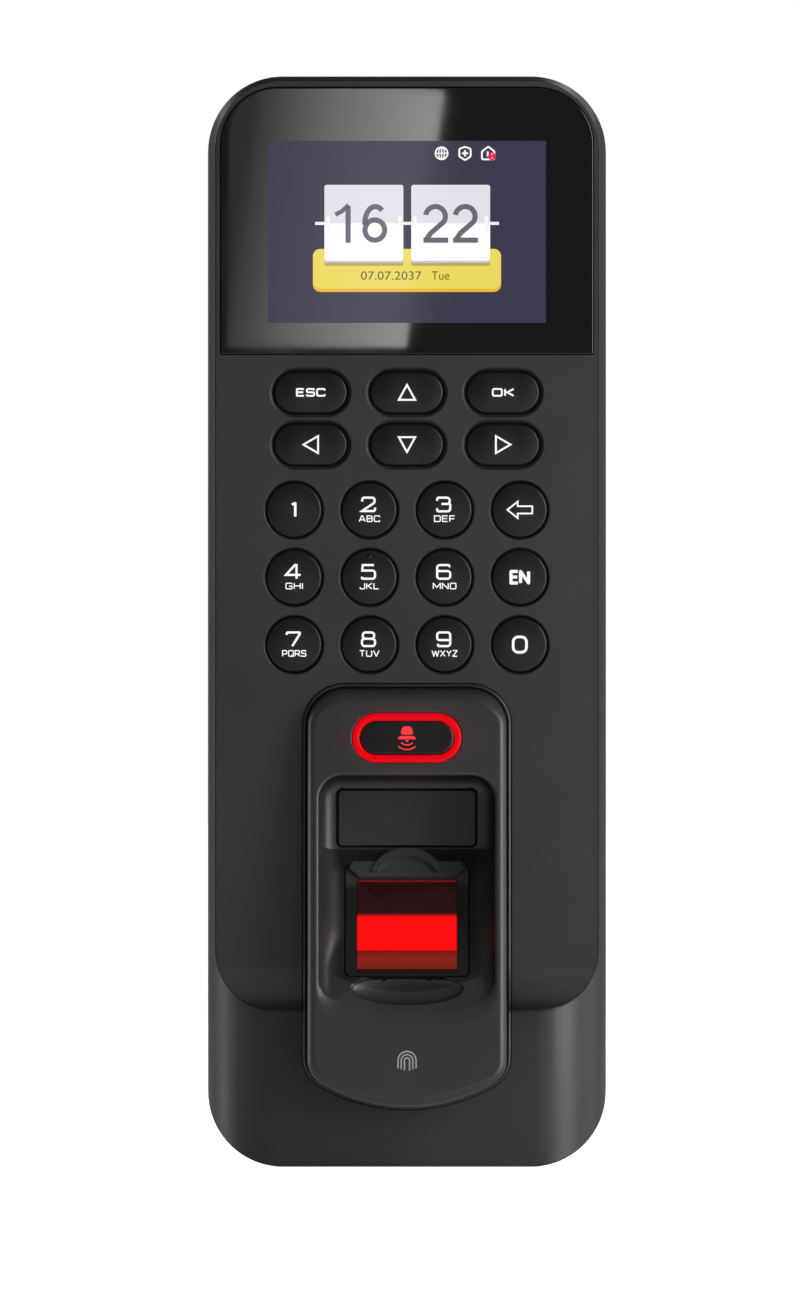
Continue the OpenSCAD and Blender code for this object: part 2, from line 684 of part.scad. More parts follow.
module sensor_frame() color("#3a3a3a") stand() at_sensor() difference() {
    union() {
        translate([0, frame_y, -0.85]) linear_extrude(1.05) rounded(20.2, 20.9, 0.9);
        box(18.6, 19.2, -1.6, -0.8, y = frame_y);
        // brow above the window and the raised crescent that stops the fingertip
        translate([0, 0, 0.15]) linear_extrude(0.85) polygon([
            [-7.8, 9.2], [7.8, 9.2], [9.6, 10.9], [8.8, 12.2], [-8.8, 12.2], [-9.6, 10.9]]);
        crescent(0.15, 1.3, 6.1, 8.46);
    }
    crescent(0.6, 3, 5.4, 7.7);
    box(glass_w + 0.1, glass_l + 0.1, -3, 3);
}

module sensor_glass() color("#7c0d10") stand() at_sensor() box(glass_w, glass_l, -1.2, 0.05);

// The prism's back slopes, so that light from its edge leaves through the back.
module sensor_prism() color("#a11517") stand() at_sensor() across_width(16)
    polygon([[-1.25, -9], [-1.25, 9], [-4.4, 9], [-9.4, -9]]);

module sensor_holder() color("#1c1c1c") stand() at_sensor() difference() {
    union() {
        box(20.4, 21, -16.2, -1.75, y = frame_y);
        for (s = [-1, 1]) box(6, 4.4, -3.2, -1.75, x = s * 11.2);
    }
    box(17.8, 18.6, -15, 0, y = 0.2);
    translate([0, 0, -20]) cylinder(h = 10, r = 3.6);
    for (s = [-1, 1]) {
        translate([s * 12.2, 0, -5]) cylinder(h = 5, r = 1.05);
        for (t = [-1, 1]) box(2.7, 1.9, -17, -14, x = s * 6, y = t * 7.5);
    }
}

module sensor_board() color("#1d5b36") stand() at_sensor() box(19.6, 20.4, -17.4, -16.25, y = frame_y);

module sensor_camera() color("#101010") stand() at_sensor() {
    translate([0, 0, -16.24]) cylinder(h = 4.4, r = 3.4);
    translate([0, 0, -11.85]) cylinder(h = 1.2, r = 2.2);
}

module sensor_lights() color("#f2b8a8") stand() at_sensor()
    for (s = [-1, 1], t = [-1, 1]) box(2.4, 1.6, -16.24, -15.2, x = s * 6, y = t * 7.5);

// ---------- screws ----------

module screw(shaft_r, shaft_l, head_r, head_t) {
    difference() {
        cylinder(h = head_t, r = head_r);
        translate([0, 0, -e]) cylinder(h = head_t * 0.6, r = head_r * 0.45, $fn = 6);
    }
    translate([0, 0, head_t - e]) cylinder(h = shaft_l + e, r = shaft_r);
}

module casing_screws() color("#8f9296") stand() for (p = case_screws)
    translate([p[0], p[1], p[1] > 72 ? 0.9 : recess_d + 0.1])
        screw(1.25, p[1] < shelf_y ? 15 : 12, 2.3, 1.45);

module board_screws_set() color("#8f9296") stand() for (p = board_screws)
    translate([p[0], p[1], board_d + board_t + 1.12]) mirror([0, 0, 1]) screw(1.25, 6, 2.3, 1.1);

module sensor_screws() color("#8f9296") stand() at_sensor() for (s = [-1, 1])
    translate([s * 12.2, 0, -4.42]) screw(0.9, 2.6, 1.7, 1.2);

module locking_screw() color("#8f9296") stand() translate([0, -89.6, 5]) rotate([-90, 0, 0])
    screw(1.5, 6.6, 2.8, 1.9);

rear_casing();
front_cover();
casing_seal();
wall_plate();
display_window();
island_bezel();
island_collar();
pocket_plate();
for (k = ROUND_KEYS) round_key(k);
for (k = OVAL_KEYS) oval_key(k);
keypad_mat();
keypad_board();
key_lights();
card_antenna();
bell_button();
bell_light_ring();
bell_switch();
bell_switch_plunger();
bell_board();
lcd_glass();
lcd_backlight();
lcd_ribbon();
main_board();
board_chips();
door_relay();
backup_cell();
buzzer();
network_socket();
terminal_sockets();
board_link();
tamper_switch();
tamper_plunger();
sensor_frame();
sensor_glass();
sensor_prism();
sensor_holder();
sensor_board();
sensor_camera();
sensor_lights();
casing_screws();
board_screws_set();
sensor_screws();
locking_screw();
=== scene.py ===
import math

import bpy
import numpy as np
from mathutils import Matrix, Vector

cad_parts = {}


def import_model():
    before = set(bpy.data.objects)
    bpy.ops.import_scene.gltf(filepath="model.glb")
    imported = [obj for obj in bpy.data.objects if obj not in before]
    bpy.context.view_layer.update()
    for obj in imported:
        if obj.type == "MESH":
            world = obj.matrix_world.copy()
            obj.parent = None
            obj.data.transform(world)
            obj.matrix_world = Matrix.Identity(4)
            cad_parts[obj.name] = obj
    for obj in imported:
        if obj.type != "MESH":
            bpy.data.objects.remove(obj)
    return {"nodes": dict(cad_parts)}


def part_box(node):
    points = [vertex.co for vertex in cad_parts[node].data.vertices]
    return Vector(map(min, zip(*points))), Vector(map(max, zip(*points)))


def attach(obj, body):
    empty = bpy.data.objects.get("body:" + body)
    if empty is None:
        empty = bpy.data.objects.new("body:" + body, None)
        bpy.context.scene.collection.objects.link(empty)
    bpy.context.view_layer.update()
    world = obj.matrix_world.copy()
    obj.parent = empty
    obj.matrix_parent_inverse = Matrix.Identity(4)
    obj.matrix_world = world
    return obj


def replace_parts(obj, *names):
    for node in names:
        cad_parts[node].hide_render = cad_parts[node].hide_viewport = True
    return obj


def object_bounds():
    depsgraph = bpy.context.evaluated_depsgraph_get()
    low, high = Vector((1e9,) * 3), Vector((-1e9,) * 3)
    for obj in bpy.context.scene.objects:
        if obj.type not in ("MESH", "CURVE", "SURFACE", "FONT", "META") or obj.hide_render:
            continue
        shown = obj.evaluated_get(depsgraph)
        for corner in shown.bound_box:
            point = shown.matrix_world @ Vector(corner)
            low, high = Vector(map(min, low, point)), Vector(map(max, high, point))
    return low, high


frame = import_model()
cad_box = [list(corner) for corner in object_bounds()]

# Shapes are worked out in panel millimetres: x to the right, y up the wall, d out of the wall.
MM = 0.001


# ---------- places taken from the frame ----------

def node_box(name):
    """Lowest and highest (x, y, d) of a CAD node, in panel millimetres."""
    low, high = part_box(name)
    return (np.array([low.x, low.z, -high.y]) / MM, np.array([high.x, high.z, -low.y]) / MM)


def node_centre(name):
    low, high = node_box(name)
    return (low + high) / 2


COVER_D = node_box("front_cover")[1][2]
SCREEN_D = node_box("display_window")[1][2]
ISLAND_LOW, ISLAND_HIGH = node_box("island_bezel")
PANEL = "terminal"


def world(points):
    """Panel millimetres to metres in the shared frame."""
    p = np.asarray(points, float)
    return np.stack([p[..., 0], -p[..., 2], p[..., 1]], axis=-1) * MM


# ---------- material helpers ----------

def new_material(name):
    material = bpy.data.materials.new(name)
    material.use_nodes = True
    return material, material.node_tree, material.node_tree.nodes["Principled BSDF"]


def link(tree, a, b):
    tree.links.new(a, b)


def add(tree, kind, **values):
    """A node with some of its settings or inputs given by name."""
    node = tree.nodes.new(kind)
    for key, value in values.items():
        if hasattr(node, key):
            setattr(node, key, value)
        else:
            node.inputs[key].default_value = value
    return node


def remap(tree, source, first, last, low=0.0, high=1.0, smooth=False):
    """Moves a value from one range to another, and holds it at the ends."""
    node = add(tree, "ShaderNodeMapRange", interpolation_type="SMOOTHSTEP" if smooth else "LINEAR")
    for name, value in zip(("From Min", "From Max", "To Min", "To Max"), (first, last, low, high)):
        node.inputs[name].default_value = value
    link(tree, source, node.inputs["Value"])
    return node.outputs["Result"]


def span(tree, source, low, high):
    """Stretches the middle of a noise value between two others."""
    return remap(tree, source, 0.3, 0.7, low, high)


def calculate(tree, operation, a, b):
    """Sum, product or the like of two values, each of which is a number or another node's output."""
    node = add(tree, "ShaderNodeMath", operation=operation)
    for socket, value in zip(node.inputs, (a, b)):
        if isinstance(value, (int, float)):
            socket.default_value = value
        else:
            link(tree, value, socket)
    return node.outputs[0]


def blend(tree, factor, first, second):
    """Mix of two colours, each of which is fixed or another node's output."""
    mix = add(tree, "ShaderNodeMix", data_type="RGBA")
    link(tree, factor, mix.inputs[0])
    for socket, colour in ((mix.inputs[6], first), (mix.inputs[7], second)):
        if isinstance(colour, bpy.types.NodeSocket):
            link(tree, colour, socket)
        else:
            socket.default_value = (*colour, 1)
    return mix.outputs[2]


def object_point(tree):
    """Place in the piece's own coordinates, so that a pattern stays on the piece."""
    return add(tree, "ShaderNodeTexCoord").outputs["Object"]


def object_axes(tree):
    split = add(tree, "ShaderNodeSeparateXYZ")
    link(tree, object_point(tree), split.inputs[0])
    return split.outputs


def vector_step(tree, operation, source, value):
    node = add(tree, "ShaderNodeVectorMath", operation=operation)
    node.inputs[1].default_value = value
    link(tree, source, node.inputs[0])
    return node.outputs


def along_line(tree, direction):
    """How far a point of the piece lies along a direction."""
    return vector_step(tree, "DOT_PRODUCT", object_point(tree), direction)["Value"]


def noise(tree, scale, detail=4.0, roughness=0.55, stretch=None):
    where = object_point(tree)
    if stretch:
        squeeze = add(tree, "ShaderNodeMapping", Scale=stretch)
        link(tree, where, squeeze.inputs["Vector"])
        where = squeeze.outputs["Vector"]
    field = add(tree, "ShaderNodeTexNoise", Scale=scale, Detail=detail, Roughness=roughness)
    link(tree, where, field.inputs["Vector"])
    return field.outputs["Fac"]


def roughen(tree, shader, height, strength, distance):
    bump = add(tree, "ShaderNodeBump", Strength=strength, Distance=distance)
    link(tree, height, bump.inputs["Height"])
    link(tree, bump.outputs["Normal"], shader.inputs["Normal"])


def moulded(name, code, roughness, grain=2600.0, depth=0.00003, spread=0.05, specular=0.5):
    """Moulded plastic: spark-eroded grain in the bump, and slow changes in gloss and tone."""
    colour = from_srgb(code)
    material, tree, shader = new_material(name)
    fine = noise(tree, grain, 5.0)
    slow = noise(tree, 60.0, 3.0)
    tone = blend(tree, slow, [c * 0.9 for c in colour], [c * 1.1 for c in colour])
    gloss = span(tree, slow, roughness - spread, roughness + spread)
    link(tree, tone, shader.inputs["Base Color"])
    link(tree, gloss, shader.inputs["Roughness"])
    roughen(tree, shader, fine, 0.35, depth)
    shader.inputs["Specular IOR Level"].default_value = specular
    return material


def brushed(name, code, roughness, stretch=(1.0, 1.0, 14.0)):
    """Rolled or plated metal with a faint direction in it."""
    colour = from_srgb(code)
    material, tree, shader = new_material(name)
    lines = noise(tree, 900.0, 4.0, 0.5, stretch)
    tone = blend(tree, lines, [c * 0.86 for c in colour], [min(1, c * 1.1) for c in colour])
    gloss = span(tree, lines, roughness - 0.06, roughness + 0.08)
    link(tree, tone, shader.inputs["Base Color"])
    link(tree, gloss, shader.inputs["Roughness"])
    roughen(tree, shader, lines, 0.2, 0.00002)
    shader.inputs["Metallic"].default_value = 1.0
    return material


def glowing(name, code, strength, body=(0.02, 0.02, 0.02), roughness=0.35, specular=0.3):
    """Lit lens or print: its own light over a dark body."""
    material, tree, shader = new_material(name)
    shader.inputs["Base Color"].default_value = (*body, 1)
    shader.inputs["Emission Color"].default_value = (*from_srgb(code), 1)
    shader.inputs["Specular IOR Level"].default_value = specular
    spread = roughness * 0.15
    gloss = span(tree, noise(tree, 900.0, 3.0), roughness - spread, roughness + spread)
    link(tree, gloss, shader.inputs["Roughness"])
    shader.inputs["Emission Strength"].default_value = strength
    return material


def from_srgb(code):
    """Linear colour from a #rrggbb code."""
    parts = [int(code[i:i + 2], 16) / 255 for i in (1, 3, 5)]
    return [p / 12.92 if p <= 0.04045 else ((p + 0.055) / 1.055) ** 2.4 for p in parts]


# ---------- object and mesh helpers ----------

def new_object(name, data):
    obj = bpy.data.objects.new(name, data)
    bpy.context.scene.collection.objects.link(obj)
    return obj


def mesh_piece(name, points, faces, material, body, origin=(0, 0, 0), normals=None, smooth=True):
    """A piece from panel-millimetre points, which rides on a CAD body."""
    mesh = bpy.data.meshes.new(name)
    start = world(origin)
    mesh.from_pydata((world(points) - start).tolist(), [], [list(map(int, f)) for f in faces])
    mesh.update()
    obj = new_object(name, mesh)
    obj.location = start
    if smooth:
        mesh.shade_smooth()
    if normals is not None:
        mesh.normals_split_custom_set_from_vertices(world(normals).tolist())
    elif smooth:
        mesh.set_sharp_from_angle(angle=math.radians(38))
    mesh.materials.append(material)
    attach(obj, body)
    return obj


def finish_cad(node, material, bevel=0.0, segments=2, angle=32.0):
    """Gives a carried-over CAD node its material and, where it shows, rounded edges."""
    obj = frame["nodes"][node]
    obj.data.materials.clear()
    obj.data.materials.append(material)
    weld = obj.modifiers.new("weld", "WELD")
    weld.merge_threshold = 0.000002
    if bevel:
        flat = obj.modifiers.new("flat", "DECIMATE")
        flat.decimate_type = "DISSOLVE"
        flat.angle_limit = math.radians(0.4)
        edge = obj.modifiers.new("edge", "BEVEL")
        edge.width = bevel * MM
        edge.segments = segments
        edge.limit_method = "ANGLE"
        edge.angle_limit = math.radians(angle)
        edge.harden_normals = True
        edge.miter_outer = "MITER_ARC"
    weighted = obj.modifiers.new("weighted", "WEIGHTED_NORMAL")
    weighted.keep_sharp = True
    weighted.mode = "FACE_AREA"
    for polygon in obj.data.polygons:
        polygon.use_smooth = True
    return obj


# ---------- signed distance shapes ----------

def round_and(a, b, r):
    """Intersection of two shapes whose shared edge is rounded by r."""
    inner = np.minimum(-r, np.maximum(a, b))
    return inner + np.hypot(np.maximum(a + r, 0), np.maximum(b + r, 0))


def round_cut(a, b, r):
    return round_and(a, -b, r)


def smooth_or(a, b, r):
    return -round_and(-a, -b, r)


def rounded_rect(x, y, half_w, half_h, r):
    qx, qy = np.abs(x) - half_w + r, np.abs(y) - half_h + r
    return np.hypot(np.maximum(qx, 0), np.maximum(qy, 0)) + np.minimum(np.maximum(qx, qy), 0) - r


def shield(x, y, half_w, top, bottom, shoulder, foot_r, foot_corner):
    """Distance to an upright plate with round shoulders and a shallow curved foot."""
    x = np.abs(x)
    foot_y = bottom + foot_r
    corner_x = half_w - foot_corner
    corner_y = foot_y - math.sqrt((foot_r - foot_corner) ** 2 - corner_x ** 2)
    tall = rounded_rect(x, y - (top - 200), half_w, 200, shoulder)
    corner = np.hypot(x - corner_x, y - corner_y) - foot_corner
    foot = np.hypot(x, y - foot_y) - foot_r
    beside = corner_x * (y - foot_y) + (foot_y - corner_y) * x > 0
    return np.where(y < corner_y, np.where(beside, corner, foot), tall)


def crossed_cells(f):
    """Numbers of the cells that the surface passes through, and its mean place in each."""
    size = tuple(np.array(f.shape) - 1)
    total = np.zeros(size + (3,))
    count = np.zeros(size)

    def at(c):
        return f[c[0]:c[0] + size[0], c[1]:c[1] + size[1], c[2]:c[2] + size[2]]

    for a in [(i, j, k) for i in (0, 1) for j in (0, 1) for k in (0, 1)]:
        for axis in range(3):
            if a[axis]:
                continue
            b = tuple(1 if n == axis else a[n] for n in range(3))
            fa, fb = at(a), at(b)
            cross = (fa < 0) != (fb < 0)
            t = np.where(cross, fa / np.where(cross, fa - fb, 1), 0)
            for n in range(3):
                total[..., n] += np.where(cross, a[n] + (t if n == axis else 0), 0)
            count += cross
    used = count > 0
    index = np.full(size, -1)
    index[used] = np.arange(used.sum())
    return index, np.argwhere(used) + total[used] / count[used][:, None]


def net_faces(f, index, axis):
    """A quad for each grid edge along one axis that the surface cuts."""
    u, v = (axis + 1) % 3, (axis + 2) % 3
    inner = [slice(1, -1)] * 3
    inner[axis] = slice(0, index.shape[axis])
    ahead = list(inner)
    ahead[axis] = slice(1, index.shape[axis] + 1)
    here, there = f[tuple(inner)] < 0, f[tuple(ahead)] < 0
    base = np.argwhere(here != there)
    flip = here[tuple(base.T)]
    base[:, u] += 1
    base[:, v] += 1
    quad = []
    for du, dv in ((-1, -1), (0, -1), (0, 0), (-1, 0)):
        cell = base.copy()
        cell[:, u] += du
        cell[:, v] += dv
        quad.append(index[tuple(cell.T)])
    quad = np.stack(quad, axis=1)
    quad[~flip] = quad[~flip][:, ::-1]
    return quad


def surface_net(field, low, high, step):
    """Closed quad mesh of field = 0 in a box, with its vertices pulled on to the surface."""
    axes = [np.arange(l, h + step, step) for l, h in zip(low, high)]
    f = field(*np.meshgrid(*axes, indexing="ij"))
    index, cells = crossed_cells(f)
    points = cells * step + np.array(low)
    faces = np.concatenate([net_faces(f, index, axis) for axis in range(3)])
    for _ in range(4):
        points -= field(*points.T)[:, None] * gradient(field, points, True)
    return points, faces


def gradient(field, points, inverse=False):
    """Unit normals, or with inverse the step that removes one unit of distance."""
    h = 0.004
    steps = h * np.eye(3)
    g = np.stack([field(*(points + s).T) - field(*(points - s).T) for s in steps], axis=1) / (2 * h)
    size = np.maximum(np.linalg.norm(g, axis=1, keepdims=True), 0.3)
    return g / size ** 2 if inverse else g / size


# ---------- the island ----------

FACE_TOP, FACE_D, FACE_SLOPE = -13.8, 27.2, 0.16
FACE_COS = 1 / math.hypot(1, FACE_SLOPE)
TILT = math.radians(33)
SENSOR_Y, SENSOR_D = -50.3, 26.5
GLASS_WIDTH, GLASS_LENGTH = 16.4, 18.3
GLASS_SEAT = 0.85
POCKET_D = 18.2
BELL = np.array([-19.1, FACE_D + (FACE_TOP + 19.1) * FACE_SLOPE])
BELL_W, BELL_H, BELL_RING = 17.9, 8.1, 1.1
MOUTH_HALF_W, MOUTH_TOP, MOUTH_SHOULDER = 14.4, -25.4, 3.8
FOOT_LEAN = 2.7
WALL = 1.7


def above_face(y, d):
    return (d - FACE_D - FACE_SLOPE * (FACE_TOP - y)) * FACE_COS


def sensor_frame_of(y, d):
    """(along, out) of the sensor window for a panel height and depth."""
    v, w = y - SENSOR_Y, d - SENSOR_D
    return v * math.cos(TILT) - w * math.sin(TILT), v * math.sin(TILT) + w * math.cos(TILT)


def bell_frame_of(y, d):
    v, w = y - BELL[0], d - BELL[1]
    lean = math.atan(FACE_SLOPE)
    return v * math.cos(lean) - w * math.sin(lean), v * math.sin(lean) + w * math.cos(lean)


def ease(t):
    t = np.clip(t, 0, 1)
    return t * t * (3 - 2 * t)


def foot_outline(x, y):
    return shield(x, y, MOUTH_HALF_W, MOUTH_TOP, -65.6, MOUTH_SHOULDER, 45.0, 4.7)


def foot_field(x, y, d):
    """The mouth's outline drawn along a leaning line, which makes the gentle slope at the foot."""
    lean_y = y + FOOT_LEAN * above_face(y, d)
    edge = foot_outline(x, lean_y)
    step = 0.02
    steep = ((foot_outline(x, lean_y + step) - edge) / step) ** 2
    stretch = (1 + FOOT_LEAN * FACE_SLOPE * FACE_COS) ** 2 + (FOOT_LEAN * FACE_COS) ** 2
    slope = edge / np.sqrt(np.maximum(1 + steep * (stretch - 1), 1))
    return np.maximum(slope, y + 57.0)


def ellipsoid(x, y, z, a, b, c):
    """Rough distance to an ellipsoid at the origin."""
    size = np.sqrt((x / a) ** 2 + (y / b) ** 2 + (z / c) ** 2)
    slope = np.sqrt((x / a ** 2) ** 2 + (y / b ** 2) ** 2 + (z / c ** 2) ** 2)
    return size * (size - 1) / np.maximum(slope, 1e-4)


def scoop_floor(y, d):
    """Negative above both flat floors: the fingertip pocket's and the leaning window's."""
    return np.maximum(-sensor_frame_of(y, d)[1], POCKET_D - d)


def scoop_field(x, y, d):
    """The finger scoop: a coved mouth, its gentle foot and a shallow hollow below the window."""
    along, out = sensor_frame_of(y, d)
    mouth = shield(x, y, MOUTH_HALF_W, MOUTH_TOP, -66.5, MOUTH_SHOULDER, 30.0, 5.0)
    cove = 2.6 + 1.8 * ease((-36.5 - y) / 5) - 2.4 * ease((-50 - y) / 7)
    scoop = np.minimum(round_and(mouth, scoop_floor(y, d), cove), foot_field(x, y, d))
    return smooth_or(scoop, ellipsoid(x, along + 12.0, out + 0.1, 9.2, 2.9, 1.6), 0.1)


def seats_field(x, y, d):
    """Seat and hole of the sensor window, and the seat of the pocket plate."""
    along, out = sensor_frame_of(y, d)
    seat = np.maximum(rounded_rect(x, along - GLASS_SEAT, 10.2, 10.55, 1.0), -0.9 - out)
    hole = np.maximum(rounded_rect(x, along - GLASS_SEAT, 9.4, 9.7, 0.6), -6 - out)
    recess = np.maximum(rounded_rect(x, y + 32.4, 11.55, 4.8, 1.0), POCKET_D - 2 - d)
    return np.minimum(np.minimum(seat, hole), recess)


def bell_prism(x, y, d, margin, flat, depth):
    """Rounded block at the doorbell; its corners fall short of fully round by flat."""
    along, out = bell_frame_of(y, d)
    half_h = BELL_H / 2 + margin
    return np.maximum(rounded_rect(x, along, BELL_W / 2 + margin, half_h, half_h - flat), -depth - out)


def hollow_field(x, y, d, outline, face):
    """Room behind the face, kept clear of the scoop's skin and of the doorbell's column."""
    along = sensor_frame_of(y, d)[0]
    skin = 1.6 + 1.2 * (along < -9.8)
    keep = np.maximum(np.maximum(scoop_floor(y, d) - skin, y + 23.7), -66.6 - y)
    hollow = np.maximum(np.maximum(outline + WALL, face + WALL), -keep)
    return np.maximum(hollow, -bell_prism(x, y, d, 1.5, 0.1, 3.6))


def island_field(x, y, d):
    """Rough distance to the whole shell, which is negative in the plastic."""
    outline = shield(x, y, ISLAND_HIGH[0], ISLAND_HIGH[1], ISLAND_LOW[1], 6.1, 28.4, 4.8)
    face = above_face(y, d)
    rim = 1.35 + 1.25 * ease((y + 17) / 4) + 0.7 * ease((-73 - y) / 6)
    body = round_cut(round_and(outline, face, rim), scoop_field(x, y, d), 0.6)
    body = np.maximum(body, -seats_field(x, y, d))
    body = round_cut(body, bell_prism(x, y, d, 0.05, 0.01, 8), 0.25)
    body = np.maximum(body, -hollow_field(x, y, d, outline, face))
    return np.maximum(body, ISLAND_LOW[2] - d)


# ---------- flat outlines, strokes and lofts ----------

def tilted(points, centre_y, centre_d, lean):
    """Panel points from (x, along, out) measured in a leaning plane."""
    p = np.asarray(points, float)
    y = centre_y + p[:, 1] * math.cos(lean) + p[:, 2] * math.sin(lean)
    d = centre_d - p[:, 1] * math.sin(lean) + p[:, 2] * math.cos(lean)
    return np.stack([p[:, 0], y, d], axis=1)


def on_bell(points):
    return tilted(points, BELL[0], BELL[1], math.atan(FACE_SLOPE))


def on_sensor(points):
    return tilted(points, SENSOR_Y, SENSOR_D, TILT)


class Shape:
    """Points and faces of a piece that is gathered from several closed bodies."""

    def __init__(self):
        self.points, self.faces = [], []

    def take(self, points, faces):
        start = len(self.points)
        self.points += [tuple(p) for p in points]
        self.faces += [[start + n for n in face] for face in faces]

    def loft(self, rings, loop=False):
        """Closed body through rings with the same number of points, or round a loop of them."""
        count, last = len(rings[0]), len(rings) - 1
        faces = []
        for k in range(len(rings) if loop else last):
            here, there = k * count, (k + 1) % len(rings) * count
            for n in range(count):
                after = (n + 1) % count
                faces.append([here + n, here + after, there + after, there + n])
        if not loop:
            faces.append(list(range(count))[::-1])
            faces.append([last * count + n for n in range(count)])
        self.take(np.concatenate(rings), faces)

    def plate(self, outline, low, high):
        """Flat plate between two heights over an outline that runs anticlockwise."""
        flat = np.asarray(outline, float)
        self.loft([ring_at(flat, d) for d in (low, high)])

    def stroke(self, path, width, height, thick=0.12, closed=False):
        """Flat ribbon along a path; height(x, y) gives the surface that it lies on."""
        path = divided(path, closed)
        ahead = np.roll(path, -1, axis=0) - path
        behind = path - np.roll(path, 1, axis=0)
        if not closed:
            ahead[-1], behind[0] = behind[-1], ahead[0]
        ahead /= np.linalg.norm(ahead, axis=1, keepdims=True)
        behind /= np.linalg.norm(behind, axis=1, keepdims=True)
        middle = ahead + behind
        middle /= np.linalg.norm(middle, axis=1, keepdims=True)
        reach = np.clip(np.sum(middle * ahead, axis=1, keepdims=True), 0.35, 1)
        side = np.stack([-middle[:, 1], middle[:, 0]], axis=1) * width / 2 / reach
        rings = []
        for edge, drop in ((side, 0), (side, thick), (-side, thick), (-side, 0)):
            flat = path + edge
            rings.append(np.column_stack([flat, height(*flat.T) - drop]))
        self.loft(list(np.stack(rings, axis=1)), loop=closed)

    def moved(self, x, y):
        """Shifts everything gathered so far."""
        self.points = [(p[0] + x, p[1] + y, p[2]) for p in self.points]
        return self

    def piece(self, name, material, body, slot, origin=(0, 0, 0), place=None):
        points = np.array(self.points)
        if place:
            points = place(points)
        return mesh_piece(name, points, self.faces, material, body, origin)


def divided(path, closed, longest=0.35):
    """The same path with its long stretches divided, so that it can follow a curved surface."""
    path = [np.array(p[:2], float) for p in path]
    result = []
    for n, p in enumerate(path):
        if n == len(path) - 1 and not closed:
            result.append(p)
            break
        after = path[(n + 1) % len(path)]
        pieces = max(1, math.ceil(np.linalg.norm(after - p) / longest))
        result += [p + (after - p) * k / pieces for k in range(pieces)]
    return np.array(result)


def fillet(path, radius, closed=False, steps=6):
    """Rounds the corners of a polyline, except those with a third value."""
    sharp = [len(p) > 2 for p in path]
    path = [np.array(p[:2], float) for p in path]
    result = []
    for n, p in enumerate(path):
        if radius == 0 or sharp[n] or not closed and n in (0, len(path) - 1):
            result.append(p)
            continue
        u, v = path[n - 1] - p, path[(n + 1) % len(path)] - p
        u_len, v_len = np.linalg.norm(u), np.linalg.norm(v)
        u, v = u / u_len, v / v_len
        half = math.acos(np.clip(u @ v, -1, 1)) / 2
        if half > 1.5:
            result.append(p)
            continue
        cut = min(radius, radius / math.tan(half), u_len / 2, v_len / 2)
        r = cut * math.tan(half)
        centre = p + (u + v) / np.linalg.norm(u + v) * r / math.sin(half)
        first, last = [math.atan2(*(p + e * cut - centre)[::-1]) for e in (u, v)]
        sweep = (last - first + math.pi) % (2 * math.pi) - math.pi
        for k in range(steps + 1):
            turn = first + sweep * k / steps
            result.append(centre + r * np.array([math.cos(turn), math.sin(turn)]))
    return np.array(result)


def arc(x, y, r, first, last, steps=24):
    """Points of an arc between two angles in degrees."""
    angle = np.radians(np.linspace(first, last, steps + 1))
    return np.stack([x + r * np.cos(angle), y + r * np.sin(angle)], axis=1)


def circle(x, y, r, steps=24):
    return arc(x, y, r, 0, 360, steps)[:-1]


def box_outline(left, bottom, right, top, r=0.0):
    return fillet([(left, bottom), (right, bottom), (right, top), (left, top)], r, closed=True)


def stadium(half_w, half_h, inset, count=96):
    """Outline with round ends, shrunk by inset."""
    angle = (np.arange(count) + 0.5) * 2 * math.pi / count
    r = half_h - inset
    x = np.sign(np.cos(angle)) * (half_w - half_h) + r * np.cos(angle)
    return np.stack([x, r * np.sin(angle)], axis=1)


def ring_at(flat, d):
    return np.column_stack([flat, np.full(len(flat), d)])


def flat_text(text, box, low, high):
    """Figures in the plain built-in face, fitted to (left, bottom, right, top)."""
    curve = bpy.data.curves.new("figures", "FONT")
    curve.body = text
    curve.extrude = 0.1
    obj = new_object("figures", curve)
    bpy.context.view_layer.update()
    mesh = bpy.data.meshes.new_from_object(obj.evaluated_get(bpy.context.evaluated_depsgraph_get()))
    points = np.array([v.co for v in mesh.vertices])
    faces = [list(f.vertices) for f in mesh.polygons]
    bpy.data.objects.remove(obj)
    bpy.data.meshes.remove(mesh)
    bpy.data.curves.remove(curve)
    small, large = points.min(axis=0), points.max(axis=0)
    target_low = np.array([box[0], box[1], low])
    target_high = np.array([box[2], box[3], high])
    return target_low + (points - small) / (large - small) * (target_high - target_low), faces


# ---------- key lettering ----------

